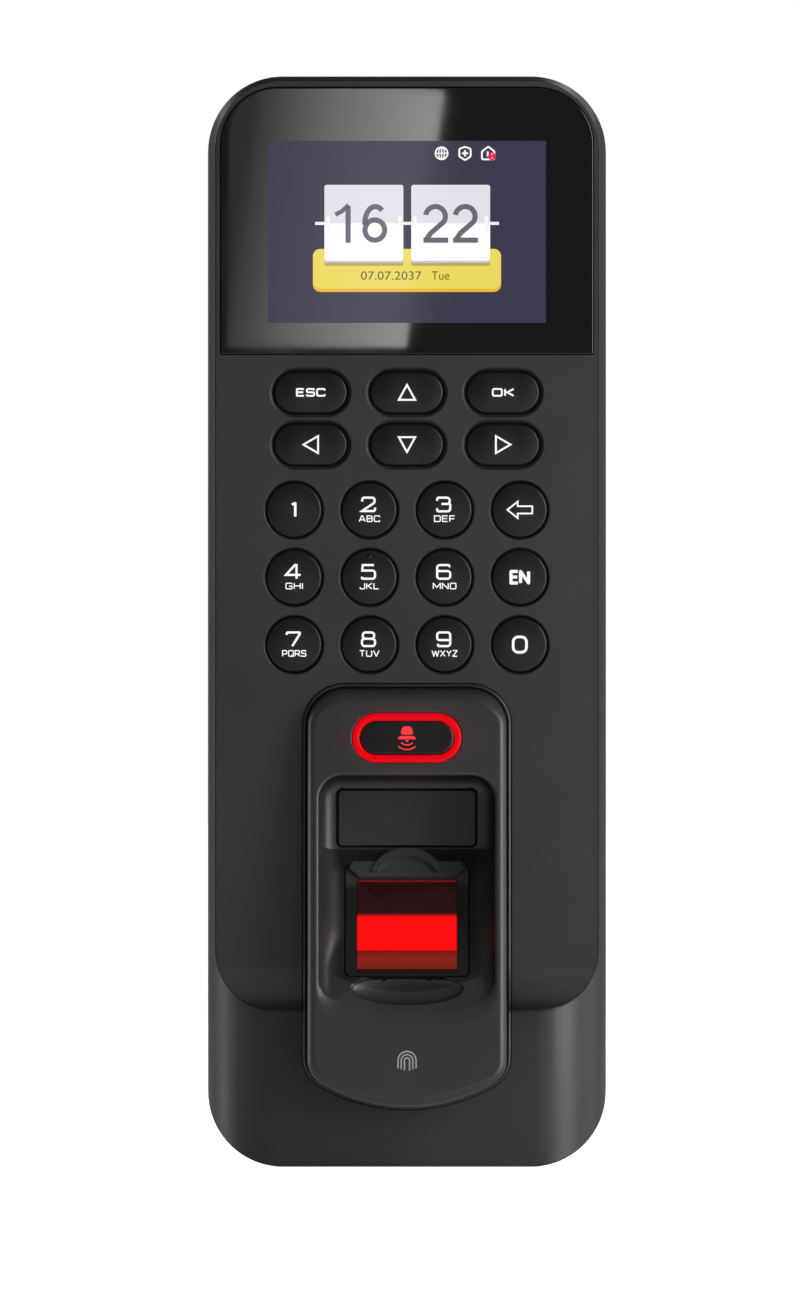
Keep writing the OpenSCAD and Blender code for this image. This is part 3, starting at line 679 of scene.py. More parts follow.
# Each sign is drawn in a cell that is 1 high and as wide as its first value, as strokes. A corner is
# rounded unless it has a third value, and None at the end closes the stroke.
GLYPHS = {
    "0": (0.92, [(0, 0), (0.92, 0), (0.92, 1), (0, 1), None]),
    "1": (0.42, [(0, 0.9), (0.42, 1.0), (0.42, 0)]),
    "2": (0.95, [(0.02, 0.72), (0.02, 1), (0.92, 1), (0.92, 0.64), (0, 0.02, 0), (0.95, 0.02), (0.95, 0.27)]),
    "3": (0.92, [(0, 0.78), (0, 1), (0.88, 1), (0.88, 0.54), (0.3, 0.54)],
          [(0.78, 0.54), (0.92, 0.54), (0.92, 0), (0, 0), (0, 0.22)]),
    "4": (1.05, [(0.76, 0), (0.76, 1, 0), (0.64, 1, 0), (0, 0.28, 0), (1.05, 0.28)]),
    "5": (0.92, [(0.84, 1), (0.06, 1, 0), (0.02, 0.6, 0), (0.92, 0.6), (0.92, 0), (0, 0), (0, 0.14)]),
    "6": (0.92, [(0.86, 0.84), (0.86, 1), (0, 1), (0, 0), (0.92, 0), (0.92, 0.56), (0.05, 0.56)]),
    "7": (0.95, [(0, 0.82), (0, 1), (0.95, 1), (0.95, 0.88), (0.4, 0)]),
    "8": (0.92, [(0.06, 0.54), (0.06, 1), (0.86, 1), (0.86, 0.54), None],
          [(0, 0), (0.92, 0), (0.92, 0.54), (0, 0.54), None]),
    "9": (0.92, [(0.06, 0.16), (0.06, 0), (0.92, 0), (0.92, 1), (0, 1), (0, 0.44), (0.87, 0.44)]),
    "A": (1.05, [(0, 0), (0.44, 1), (0.61, 1), (1.05, 0)], [(0.16, 0.3), (0.9, 0.3)]),
    "B": (0.95, [(0, 0, 0), (0, 1, 0), (0.88, 1), (0.88, 0.52), (0, 0.52)],
          [(0.7, 0.52), (0.95, 0.52), (0.95, 0), (0, 0)]),
    "C": (0.95, [(0.95, 0.76), (0.95, 1), (0, 1), (0, 0), (0.95, 0), (0.95, 0.24)]),
    "D": (0.98, [(0, 0, 0), (0, 1, 0), (0.98, 1), (0.98, 0), None]),
    "E": (0.88, [(0.88, 1), (0, 1), (0, 0), (0.88, 0)], [(0, 0.52), (0.8, 0.52)]),
    "F": (0.85, [(0.85, 1), (0, 1), (0, 0)], [(0, 0.48), (0.78, 0.48)]),
    "G": (1.0, [(0.95, 0.8), (0.95, 1), (0, 1), (0, 0), (1.0, 0), (1.0, 0.46, 0), (0.5, 0.46)]),
    "H": (0.98, [(0, 0), (0, 1)], [(0.98, 0), (0.98, 1)], [(0, 0.52), (0.98, 0.52)]),
    "I": (0.0, [(0, 0), (0, 1)]),
    "J": (0.8, [(0.8, 1), (0.8, 0), (0, 0), (0, 0.3)]),
    "K": (0.95, [(0, 0), (0, 1)], [(0.95, 1), (0.25, 0.52), (0, 0.52)], [(0.25, 0.52), (0.95, 0)]),
    "L": (0.85, [(0, 1), (0, 0), (0.85, 0)]),
    "M": (1.25, [(0, 0), (0, 1), (0.62, 0.25), (1.25, 1), (1.25, 0)]),
    "N": (1.05, [(0, 0), (0, 1), (1.05, 0), (1.05, 1)]),
    "O": (1.0, [(0, 0), (1.0, 0), (1.0, 1), (0, 1), None]),
    "P": (0.9, [(0, 0), (0, 1, 0), (0.9, 1), (0.9, 0.4), (0, 0.4)]),
    "Q": (1.0, [(0, 0), (1.0, 0), (1.0, 1), (0, 1), None], [(0.6, 0.3), (1.08, -0.1)]),
    "R": (0.95, [(0, 0), (0, 1, 0), (0.9, 1), (0.9, 0.42), (0, 0.42)], [(0.5, 0.42), (0.95, 0)]),
    "S": (0.92, [(0.88, 0.8), (0.88, 1), (0, 1), (0, 0.52), (0.92, 0.52), (0.92, 0), (0, 0), (0, 0.2)]),
    "T": (0.95, [(0, 1), (0.95, 1)], [(0.475, 1), (0.475, 0)]),
    "U": (0.98, [(0, 1), (0, 0), (0.98, 0), (0.98, 1)]),
    "V": (1.05, [(0, 1), (0.525, 0), (1.05, 1)]),
    "W": (1.5, [(0, 1), (0.38, 0), (0.75, 0.9), (1.12, 0), (1.5, 1)]),
    "X": (1.0, [(0, 0), (1.0, 1)], [(0, 1), (1.0, 0)]),
    "Y": (1.0, [(0, 1), (0.5, 0.45), (1.0, 1)], [(0.5, 0.45), (0.5, 0)]),
    "Z": (0.95, [(0, 1), (0.95, 1), (0, 0), (0.95, 0)]),
}
ROUND_SIGNS = "023456789BCDGJOPQRSU"


def write(shape, text, x, y, width, height, stroke, surface, corner=0.2):
    """Letters of one line, centred on (x, y) and stretched to a width, edge to edge."""
    gap = 0.36
    total = sum(GLYPHS[c][0] for c in text) + gap * (len(text) - 1)
    tall = height - stroke
    wide = (width - stroke) / total if total else 1
    left = -total / 2
    for c in text:
        for path in GLYPHS[c][1:]:
            closed = path[-1] is None
            flat = [(x + (left + p[0]) * wide, y + (p[1] - 0.5) * tall, *p[2:]) for p in path if p]
            r = corner * tall if c in ROUND_SIGNS else 0.02 * tall
            shape.stroke(fillet(flat, r, closed), stroke, surface, closed=closed)
        left += GLYPHS[c][0] + gap


# ---------- materials of the pieces ----------

def painted_radial_glow(tree, shader, colour, centre, stretch, spread, peak):
    """Adds painted light: emission that fades away from a centre, in the piece's own coordinates."""
    offset = vector_step(tree, "SUBTRACT", object_point(tree), centre)[0]
    scaled = vector_step(tree, "MULTIPLY", offset, stretch)[0]
    size = add(tree, "ShaderNodeVectorMath", operation="LENGTH")
    link(tree, scaled, size.inputs[0])
    fade = remap(tree, size.outputs["Value"], 0.0, spread, peak, 0.0, smooth=True)
    link(tree, fade, shader.inputs["Emission Strength"])
    shader.inputs["Emission Color"].default_value = (*colour, 1)


def parts_of(material):
    tree = material.node_tree
    shader = tree.nodes["Principled BSDF"]
    return tree, shader, shader.inputs["Base Color"].links[0].from_socket


def key_painted_glow_material():
    """Black cap with a painted glow: faint emission round its lit sign."""
    material = moulded("key_plastic", "#0a0a0a", 0.38, depth=0.00001, specular=0.32)
    tree, shader, _ = parts_of(material)
    # Painted glow: faint white emission on the cap itself, fading out from its middle round the lit sign.
    painted_radial_glow(tree, shader, (1, 1, 1), (0, 0, 0), (1, 0, 1), 0.0042, 0.009)
    return material


def painted_scoop_shade(tree):
    """Mask of painted shade: 1 on the floor round the fingerprint window, down to the crest of the foot."""
    axes = object_axes(tree)
    squared = calculate(tree, "MULTIPLY", axes["X"], axes["X"])
    beside = remap(tree, squared, 0.0127 ** 2, 0.0108 ** 2, smooth=True)
    crest = calculate(tree, "SUBTRACT", axes["Z"], calculate(tree, "MULTIPLY", squared, 18.45))
    above = remap(tree, crest, -0.0611, -0.0607, smooth=True)
    below = remap(tree, axes["Z"], -0.0365, -0.0385, smooth=True)
    return calculate(tree, "MULTIPLY", calculate(tree, "MULTIPLY", beside, above), below)


def island_painted_shade_and_glow():
    """Island plastic with painted shade round the fingerprint window and a painted red glow round the
    doorbell.
    """
    material = moulded("island_plastic", "#202020", 0.42)
    tree, shader, base = parts_of(material)
    # Painted shade: the floor round the fingerprint window is mixed towards near black, standing in for the
    # shade inside the scoop.
    dark = blend(tree, painted_scoop_shade(tree), base, from_srgb("#0b0b0b"))
    link(tree, dark, shader.inputs["Base Color"])
    centre = (0, 0, BELL[0] * MM)
    # Painted glow: red emission on the island plastic round the doorbell ring, standing in for the ring's
    # light falling on it.
    painted_radial_glow(tree, shader, from_srgb("#ff2018"), centre, (0.62, 0, 1.2), 0.0092, 0.045)
    return material


def frame_painted_light_and_shade():
    """Sensor frame: painted light on a pale top brow, and painted shade that darkens down the sides of the
    window.
    """
    # Painted light: the frame's base tone is paler than the other plastics, standing in for light on its
    # brow.
    material = moulded("frame_plastic", "#2c2c2c", 0.4)
    tree, shader, base = parts_of(material)
    # Painted shade: the frame darkens below the brow, down the sides of the window, where the gutters shade
    # it.
    fade = remap(tree, object_axes(tree)["Z"], -0.0445, -0.0420, smooth=True)
    link(tree, blend(tree, fade, from_srgb("#0c0c0c"), base), shader.inputs["Base Color"])
    return material


# Where each colour stands up the fingerprint window, in millimetres from its middle.
SENSOR_BANDS = (
    (-9.15, "#1a0403"), (-8.3, "#1c0605"), (-8.1, "#721c12"), (-6.4, "#86200f"), (-4.7, "#780f0c"),
    (-4.45, "#ff0000"), (1.9, "#ff0000"), (2.5, "#4a0808"), (3.0, "#200a0b"), (8.7, "#1c0a0b"),
    (8.95, "#8c1416"), (9.15, "#240708"))


def sensor_material():
    """Fingerprint window: a lit band, with its mirror image below and dark glass above."""
    material, tree, shader = new_material("sensor_glass")
    shader.inputs["Base Color"].default_value = (*from_srgb("#120404"), 1)
    link(tree, span(tree, noise(tree, 500.0, 3.0), 0.1, 0.16), shader.inputs["Roughness"])
    shader.inputs["Specular IOR Level"].default_value = 0.3
    half = GLASS_LENGTH / 2 * MM
    ramp = add(tree, "ShaderNodeValToRGB")
    stops = ramp.color_ramp.elements
    while len(stops) < len(SENSOR_BANDS):
        stops.new(0.5)
    for stop, (place, colour) in zip(stops, SENSOR_BANDS):
        stop.position = (place * MM + half) / (2 * half)
        stop.color = (*from_srgb(colour), 1)
    along = along_line(tree, (0, math.sin(TILT), math.cos(TILT)))
    link(tree, remap(tree, along, -half, half), ramp.inputs["Fac"])
    link(tree, ramp.outputs["Color"], shader.inputs["Emission Color"])
    shader.inputs["Emission Strength"].default_value = 1.0
    return material


def lit(name, code):
    """Lit part of the display picture, seen through its smooth laminated glass."""
    dark = (0.0006, 0.0006, 0.0006)
    return glowing(name, code, 1.0, body=dark, roughness=0.03, specular=0.1)


ISLAND_PLASTIC = island_painted_shade_and_glow()
KEY_PLASTIC = key_painted_glow_material()
BUTTON_PLASTIC = moulded("button_plastic", "#0e0e0e", 0.34, depth=0.00001, specular=0.4)
RED_LENS = glowing("red_lens", "#e2000e", 1.0, body=from_srgb("#180002"), specular=0.12)
SENSOR_GLASS = sensor_material()
LEGEND_WHITE = glowing("legend_white", "#ffffff", 1.0)
LEGEND_RED = glowing("legend_red", "#ff2028", 1.0)
PRINT_GREY = moulded("print_grey", "#808080", 0.5)

# ---------- CAD nodes that keep their shape, with the width of their rounded edges ----------

for material, nodes in (
        (moulded("casing_plastic", "#1c1c1c", 0.45), {"rear_casing": 0.35, "front_cover": 0.3}),
        (moulded("collar_plastic", "#1a1a1a", 0.38), {"island_collar": 0.34}),
        (moulded("pocket_plastic", "#161616", 0.5), {"pocket_plate": 0.35}),
        (frame_painted_light_and_shade(), {"sensor_frame": 0.22}),
        (moulded("window_gloss", "#080808", 0.012, depth=0.0, spread=0.004), {"display_window": 0.25}),
        (moulded("seal_rubber", "#141414", 0.7), {"casing_seal": 0}),
        (moulded("silicone", "#c9ccd0", 0.5), {"keypad_mat": 0}),
        (brushed("plate_steel", "#b9bbbd", 0.38), {"wall_plate": 0.15}),
        (brushed("steel_parts", "#c2c4c6", 0.3),
         {"bell_switch": 0, "lcd_backlight": 0, "backup_cell": 0.3, "tamper_switch": 0}),
        (brushed("screw_steel", "#9a9da0", 0.32),
         {"casing_screws": 0.1, "locking_screw": 0.1, "board_screws_set": 0, "sensor_screws": 0}),
        (brushed("copper_coil", "#b8743e", 0.3), {"card_antenna": 0}),
        (moulded("ribbon", "#a85a1a", 0.3), {"lcd_ribbon": 0}),
        (moulded("relay_blue", "#2a6bb0", 0.4), {"door_relay": 0.3}),
        (glowing("prism_glass", "#500406", 0.4, body=from_srgb("#500406")), {"sensor_prism": 0}),
        (moulded("led_white", "#f3f1e4", 0.2), {"key_lights": 0}),
        (moulded("led_red", "#f2a090", 0.2), {"sensor_lights": 0}),
        (moulded("connector_ivory", "#e6e2d4", 0.45),
         {"terminal_sockets": 0.15, "board_link": 0, "tamper_plunger": 0.2}),
        (moulded("circuit_board", "#17563a", 0.35),
         {"keypad_board": 0, "bell_board": 0, "main_board": 0, "sensor_board": 0}),
        (moulded("black_parts", "#151515", 0.45),
         {"bell_switch_plunger": 0, "lcd_glass": 0, "board_chips": 0.1, "buzzer": 0.2,
          "network_socket": 0.15, "sensor_holder": 0, "sensor_camera": 0})):
    for name, bevel in nodes.items():
        finish_cad(name, material, bevel)

# ---------- island shell ----------

points, faces = surface_net(island_field, ISLAND_LOW - 0.9, ISLAND_HIGH + 0.9, 0.3)
island = mesh_piece("island_bezel_shell", points, faces, ISLAND_PLASTIC, PANEL,
                    normals=gradient(island_field, points))
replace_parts(island, "island_bezel")

# ---------- keys ----------

CROWN = 0.3
LIP = 0.34
FLANGE_LOW, FLANGE_HIGH = 21.2, 22.1
ROUND_R = 4.5
OVAL_W, OVAL_H = 11.9 / 2, 6.7 / 2


def crown_height(half_w, half_h, top, crown=CROWN):
    """Height of a crowned cap at (x, y) from its centre."""
    def height(x, y):
        r = np.hypot(np.maximum(np.abs(x) - (half_w - half_h), 0), y)
        return top - crown * (r / (half_h - LIP)) ** 2 + 0.03
    return height


def cap_rings(half_w, half_h, low, top, crown=CROWN):
    """Rings of a cap: straight side, rounded lip and crowned top."""
    rings = [ring_at(stadium(half_w, half_h, 0), low)]
    rim = top - crown - LIP
    for k in range(7):
        turn = math.pi / 2 * k / 6
        rings.append(ring_at(stadium(half_w, half_h, LIP * (1 - math.cos(turn))), rim + LIP * math.sin(turn)))
    steps = 14
    for k in range(1, steps + 1):
        r = (half_h - LIP) * (1 - k / steps) + 0.05 * k / steps
        rings.append(ring_at(stadium(half_w, half_h, half_h - r), top - crown * (r / (half_h - LIP)) ** 2))
    return rings


def make_key(name, half_w, half_h, x, y):
    """Cap, flange and stem of one key, about its own centre."""
    low, high = node_box(name)
    flange_w, flange_h = (high[0] - low[0]) / 2, (high[1] - low[1]) / 2
    stem_low, top = low[2], high[2]
    shape = Shape()
    flange = ((0.15, FLANGE_LOW), (0, FLANGE_LOW + 0.15), (0, FLANGE_HIGH))
    rings = [ring_at(stadium(flange_w, flange_h, inset), d) for inset, d in flange]
    shape.loft(rings + cap_rings(half_w, half_h, FLANGE_HIGH, top))
    stem = ((1.45, stem_low), (1.6, stem_low + 0.15), (1.6, FLANGE_LOW + 0.05))
    shape.loft([ring_at(circle(0, 0, r), d) for r, d in stem])
    shape.moved(x, y)
    cap = shape.piece(name + "_cap", KEY_PLASTIC, name + "_part", "key_plastic", origin=(x, y, top))
    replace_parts(cap, name)
    return crown_height(half_w, half_h, top)


def sign_piece(name, shape, x, y):
    shape.moved(x, y)
    return shape.piece(name + "_sign", LEGEND_WHITE, name + "_part", "key_plastic", origin=(x, y, COVER_D))


# Name, large sign, letters below it and their width.
ROUND_KEYS = (
    ("key_1", "1", "", 0), ("key_2", "2", "ABC", 3.5), ("key_3", "3", "DEF", 3.5), ("key_back", "", "", 0),
    ("key_4", "4", "GHI", 2.9), ("key_5", "5", "JKL", 3.2), ("key_6", "6", "MNO", 3.9),
    ("key_language", "EN", "", 0), ("key_7", "7", "PQRS", 4.0), ("key_8", "8", "TUV", 3.35),
    ("key_9", "9", "WXYZ", 4.3), ("key_0", "0", "", 0))
# A sign that stands alone on its round key: shift, width, height, pen and corner.
LONE_SIGNS = {"EN": (0, 3.4, 2.4, 0.5, 0.2), "1": (-0.1, 0.95, 2.6, 0.4, 0.2),
              "0": (0, 2.6, 2.95, 0.42, 0.32)}

for name, digit, letters, letters_width in ROUND_KEYS:
    x, y, _ = node_centre(name)
    surface = make_key(name, ROUND_R, ROUND_R, x, y)
    shape = Shape()
    if letters:
        write(shape, digit, -0.15, 0.88, 2.75 if digit == "4" else 2.5, 2.6, 0.35, surface)
        write(shape, letters, 0, -1.45, letters_width, 1.1, 0.17, surface)
    elif digit:
        shift, width, height, pen, corner = LONE_SIGNS[digit]
        write(shape, digit, shift, 0, width, height, pen, surface, corner)
    else:
        arrow = [(-2.05, 0), (-0.35, 1.35), (-0.35, 0.6), (2.05, 0.6), (2.05, -0.6), (-0.35, -0.6),
                 (-0.35, -1.35)]
        shape.stroke(arrow, 0.26, surface, closed=True)
    sign_piece(name, shape, x, y)

OVAL_KEYS = (("key_esc", "ESC"), ("key_up", (0, 1)), ("key_ok", "OK"),
             ("key_left", (-1, 0)), ("key_down", (0, -1)), ("key_right", (1, 0)))
WORD_WIDTHS = {"ESC": 4.86, "OK": 3.7}

for name, sign in OVAL_KEYS:
    x, y, _ = node_centre(name)
    surface = make_key(name, OVAL_W, OVAL_H, x, y)
    shape = Shape()
    if sign in WORD_WIDTHS:
        write(shape, sign, 0, 0, WORD_WIDTHS[sign], 1.4, 0.28, surface)
    else:
        ahead = np.array(sign, float)
        side = np.array([-ahead[1], ahead[0]])
        long, wide = (2.4, 1.4) if sign[0] else (2.45, 1.35)
        foot = ahead * long / 2
        shape.stroke([foot, side * wide - foot, -side * wide - foot], 0.3, surface, closed=True)
    sign_piece(name, shape, x, y)

x, y, _ = node_centre("key_5")
top = node_box("key_5")[1][2]
nub = Shape()
nub.loft([ring_at(circle(x, y + 3.35, 0.36 * math.cos(t), 20), top - 0.12 + 0.2 * math.sin(t))
          for t in np.linspace(-0.6, 1.45, 8)])
nub.piece("key_5_nub", KEY_PLASTIC, "key_5_part", "key_plastic", origin=(x, y + 20, top))

# ---------- doorbell ----------

BUTTON_W, BUTTON_H = 15.46 / 2, 5.66 / 2
BUTTON_TOP = 0.1
ring = Shape()
profile = ((0.0, -3.1), (0.0, 0.0), (0.08, 0.17), (0.25, 0.25), (BELL_RING - 0.25, 0.25),
           (BELL_RING - 0.08, 0.17), (BELL_RING, 0.0), (BELL_RING, -3.1))
ring.loft([ring_at(stadium(BELL_W / 2, BELL_H / 2, inset), out) for inset, out in profile], loop=True)
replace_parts(ring.piece("bell_ring_lens", RED_LENS, PANEL, "red_lens", place=on_bell), "bell_light_ring")

button = Shape()
skirt = stadium(BELL_W / 2 - 0.5, BELL_H / 2 - 0.5, 0)
button.loft([ring_at(skirt, -4.2), ring_at(skirt, -3.2)]
            + cap_rings(BUTTON_W, BUTTON_H, -3.2, BUTTON_TOP, 0.0))
bell_cap = button.piece("bell_button_cap", BUTTON_PLASTIC, "bell_button_part", "key_plastic", place=on_bell)
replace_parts(bell_cap, "bell_button")

surface = crown_height(BUTTON_W, BUTTON_H, BUTTON_TOP, 0.0)
sign = Shape()


def draped(outline, height, thick=0.12):
    """Bottom and top ring of a thin plate that follows a curved surface."""
    flat = np.asarray(outline, float)
    return [np.column_stack([flat, height(*flat.T) - thick]), np.column_stack([flat, height(*flat.T)])]


dome = [(-1.03, 0.47), (1.03, 0.47), (0.94, 1.25), (0.6, 1.85), (-0.6, 1.85), (-0.94, 1.25)]
brim = [(-1.5, -0.3), (1.5, -0.3), (1.42, 0.0), (1.05, 0.25), (-1.05, 0.25), (-1.42, 0.0)]
sign.loft(draped(fillet(dome, 0.5, True), surface))
sign.loft(draped(fillet(brim, 0.12, True), surface))
sign.loft(draped(arc(0, -0.42, 0.3, 180, 360, 10), surface))
for r, reach in ((1.33, 45), (2.1, 42)):
    sign.stroke(arc(0, 0.08, r, 270 - reach, 270 + reach), 0.22, surface)
sign.piece("bell_sign", LEGEND_RED, "bell_button_part", "red_lens", place=on_bell)

# ---------- fingerprint window ----------

glass = Shape()
edge_profile = ((0.25, -1.2), (0.0, -1.0), (0.0, -0.12), (0.05, 0.0), (0.17, 0.05))
glass_rings = [(GLASS_WIDTH / 2 - inset, GLASS_LENGTH / 2 - inset, out) for inset, out in edge_profile]
glass.loft([ring_at(box_outline(-w, -h, w, h, 0.5), out) for w, h, out in glass_rings])
pane = glass.piece("sensor_window", SENSOR_GLASS, PANEL, "sensor_glass", origin=(0, SENSOR_Y, SENSOR_D),
                   place=on_sensor)
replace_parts(pane, "sensor_glass")

# ---------- sign on the island: a plain fingertip ----------


def island_face(x, y):
    return (FACE_D + FACE_SLOPE * (FACE_TOP - y)) + 0.03 + 0 * x


tip = Shape()
SIGN_Y = -72.3
for r in (0.42, 0.95, 1.48):
    foot_y = SIGN_Y - 1.6 + 0.35 * r
    legs = [(r, foot_y), *arc(0, SIGN_Y + 0.2, r, 0, 180, 18), (-r, foot_y)]
    tip.stroke(legs, 0.24, island_face)
tip.piece("island_sign", PRINT_GREY, PANEL, "island_plastic")

# ---------- display picture ----------

PICTURE_Y = 64.2
LAYER = 0.02


def in_picture(shape, name, code, material_name=None):
    return shape.piece(name, lit(material_name or name, code), PANEL, "lcd_picture")


def screen_plate(name, outline, level, code):
    shape = Shape()
    shape.plate(outline, SCREEN_D - 0.05, SCREEN_D + LAYER * level)
    return in_picture(shape, name, code)


def flat_screen(level):
    return lambda x, y: SCREEN_D + LAYER * level + 0 * x


CLOCK_LOW, CLOCK_H, CLOCK_PEN = 62.4, 6.4, 0.86
DIGIT_PLACES = {"left": (1.8, 6.2), "right": (2.0, 6.9)}
HINGE_Y = 65.6


def clock_digit(shape, digit, left, surface):
    """One large plain clock figure whose left edge is given."""
    low, high = CLOCK_LOW + CLOCK_PEN / 2, CLOCK_LOW + CLOCK_H - CLOCK_PEN / 2
    r = 1.62
    if digit == "1":
        stem = left + 2.1
        flag = [(left, high - 1.35), (left + 1.1, high - 0.75), (stem + 0.1, high + 0.25)]
        shape.stroke([(stem, CLOCK_LOW), (stem, high + 0.1)], CLOCK_PEN, surface)
        shape.stroke(flag, CLOCK_PEN * 0.85, surface)
    elif digit == "2":
        turn = arc(left + 2.0, high - r, r, 172, -35, 26)
        neck = fillet([*map(tuple, turn), (left + 1.2, low + 1.15), (left + 0.42, low)], 0.5)
        shape.stroke(neck, CLOCK_PEN, surface)
        shape.stroke([(left, low), (left + 4.1, low)], CLOCK_PEN, surface)
    elif digit == "6":
        middle = left + 2.1
        bowl = circle(0, 0, 1, 36) * (r, r * 1.03) + (middle, low + r * 1.03)
        shape.stroke(bowl, CLOCK_PEN, surface, closed=True)
        spine = arc(0, 0, 1, 50, 185, 26) * (1.72, (high - low) / 2) + (middle + 0.08, (high + low) / 2)
        shape.stroke(spine, CLOCK_PEN, surface)


screen_plate("picture_ground", box_outline(-22.9, PICTURE_Y - 15, 22.9, PICTURE_Y + 15), 1, "#3e3a4d")
screen_plate("date_strip_edge", box_outline(-15.5, 54.3, 15.5, 61.4, 1.2), 2, "#e9b935")
screen_plate("date_strip", box_outline(-15.5, 54.85, 15.5, 61.4, 1.2), 3, "#ecd95f")
# Each flip card from the back to the front: name, bottom, top, corner and colour.
CARD_LAYERS = (("_shade", 58.6, 60.0, 0.35, "#b9a95a"), ("_foot", 59.1, 62.0, 0.4, "#c9c6dd"),
               ("_lower", 59.45, 70.0, 0.4, "#ffffff"), ("_upper", HINGE_Y, 71.95, 0.4, "#e1e1e9"))
for side, left, text in (("left", -13.6, "16"), ("right", 0.7, "22")):
    right = left + 13.0
    for n, (part, bottom, top, corner, code) in enumerate(CARD_LAYERS):
        screen_plate("card_" + side + part, box_outline(left, bottom, right, top, corner), 4 + n, code)
    shape = Shape()
    for n, digit in enumerate(text):
        clock_digit(shape, digit, left + DIGIT_PLACES[side][n], flat_screen(8))
    in_picture(shape, "clock_" + side, "#6a6878")
    notch = Shape()
    for notch_x in (left + 0.6, right - 0.6):
        notch.stroke([(notch_x, HINGE_Y - 1.2), (notch_x, HINGE_Y + 1.2)], 0.55, flat_screen(8))
    in_picture(notch, "card_" + side + "_notches", "#f6f6fa", "notches_" + side)
axle = Shape()
for first, last in ((-15.15, -13.6), (-0.6, 0.7), (13.7, 15.15)):
    axle.stroke([(first, HINGE_Y), (last, HINGE_Y)], 0.5, flat_screen(6))
in_picture(axle, "card_axle", "#f2f2f6")
date = Shape()
for text, left, right in (("07.07.2037", -7.6, 2.4), ("Tue", 4.05, 7.0)):
    date.take(*flat_text(text, (left, 56.3, right, 57.7), SCREEN_D, SCREEN_D + LAYER * 5))
in_picture(date, "date_figures", "#5c5840")

ICON_Y = 77.15
GLOBE_X, GUARD_X = 5.7, 9.56
icons = Shape()
over = flat_screen(3)
icons.stroke(circle(GLOBE_X, ICON_Y, 1.0, 32), 0.26, over, closed=True)
icons.stroke([(GLOBE_X - 0.9, ICON_Y), (GLOBE_X + 0.9, ICON_Y)], 0.2, over)
icons.stroke([(GLOBE_X, ICON_Y - 0.9), (GLOBE_X, ICON_Y + 0.9)], 0.2, over)
for squeeze in (-0.48, 0.48):
    icons.stroke(arc(0, 0, 1.0, -90, 90, 16) * (squeeze, 0.95) + (GLOBE_X, ICON_Y), 0.18, over)
guard = [(GUARD_X, ICON_Y + 1.05), (10.5, ICON_Y + 0.75), (10.5, ICON_Y - 0.5), (GUARD_X, ICON_Y - 1.15),
         (8.62, ICON_Y - 0.5), (8.62, ICON_Y + 0.75)]
icons.stroke(fillet(guard, 0.35, True), 0.28, over, closed=True)
icons.stroke([(GUARD_X - 0.5, ICON_Y), (GUARD_X + 0.5, ICON_Y)], 0.3, over)
icons.stroke([(GUARD_X, ICON_Y - 0.5), (GUARD_X, ICON_Y + 0.5)], 0.3, over)
house = [(12.35, ICON_Y - 1.0), (14.4, ICON_Y - 1.0), (14.4, ICON_Y + 0.3), (13.4, ICON_Y + 1.1),
         (12.35, ICON_Y + 0.3)]
icons.stroke(fillet(house, 0.2, True), 0.28, over, closed=True)
icons.stroke([(13.3, ICON_Y - 0.5), (13.3, ICON_Y + 0.3)], 0.28, over)
in_picture(icons, "status_icons", "#ffffff")
screen_plate("alert_badge", circle(14.0, ICON_Y - 0.5, 0.66, 28), 4, "#f02850")
alert = Shape()
alert.stroke([(14.0, ICON_Y - 0.28), (14.0, ICON_Y - 0.1)], 0.2, flat_screen(5))
alert.stroke([(14.0, ICON_Y - 0.85), (14.0, ICON_Y - 0.7)], 0.2, flat_screen(5))
in_picture(alert, "alert_mark", "#ffd8e0")

# ---------- camera and lights ----------

# The picture is FRAME_H millimetres high at the cover, and centred on (VIEW_X, VIEW_Y).
FRAME_H = 215.0
VIEW_X, VIEW_Y = -1.15, -5.1
DISTANCE = 4.0
SENSOR_MM = 36.0

camera = new_object("camera", bpy.data.cameras.new("camera"))
camera.location = world((VIEW_X, VIEW_Y, COVER_D)) + np.array([0, -DISTANCE, 0])
camera.rotation_euler = (math.pi / 2, 0, 0)
camera.data.sensor_width = SENSOR_MM
camera.data.lens = SENSOR_MM * DISTANCE / (FRAME_H * MM)
camera.data.clip_end = 100
bpy.context.scene.camera = camera


def softbox(name, place, target, width, height, power):
    light = bpy.data.lights.new(name, "AREA")
    light.shape = "RECTANGLE"
    light.size, light.size_y = width, height
    light.energy = power
    obj = new_object(name, light)
    obj.location = place
    aim = Vector(target) - Vector(place)
    obj.rotation_euler = aim.to_track_quat("-Z", "Y").to_euler()
    obj.visible_camera = False
    return obj


softbox("key_light", (0.33, -0.27, -0.07), (0, 0, -0.02), 0.2, 0.8, 4.4)
softbox("front_fill", (0.0, -1.9, -0.2), (0, 0, 0), 1.6, 1.2, 16.5).visible_glossy = False
softbox("low_fill", (0.16, -0.42, -0.02), (0.0, 0, -0.085), 0.3, 0.1, 0.4).visible_glossy = False
for name, side, power in (("left", -1, 5.0), ("right", 1, 3.0)):
    softbox(name + "_strip", (0.9 * side, 0.14, 0.15), (0, 0, 0.02), 0.2, 1.0, power)
    softbox(name + "_back", (0.3 * side, 1.4, 0.6), (0, 0, 0), 0.6, 0.8, 4)

# ---------- stage ----------


def flat_sheet(name, corners):
    """One flat face that is part of the set, with the node tree and shader of its own material."""
    mesh = bpy.data.meshes.new(name)
    mesh.from_pydata(corners, [], [list(range(len(corners)))])
    obj = new_object(name, mesh)
    material, tree, shader = new_material(name)
    shader.inputs["Emission Color"].default_value = (1, 1, 1, 1)
    mesh.materials.append(material)
    return obj, tree, shader


def seen_level(tree, otherwise):
    """1 where the camera sees the set itself, and another level for the light that it gives."""
    seen = add(tree, "ShaderNodeLightPath")
    return remap(tree, seen.outputs["Is Camera Ray"], 0.0, 1.0, otherwise, 1.0)


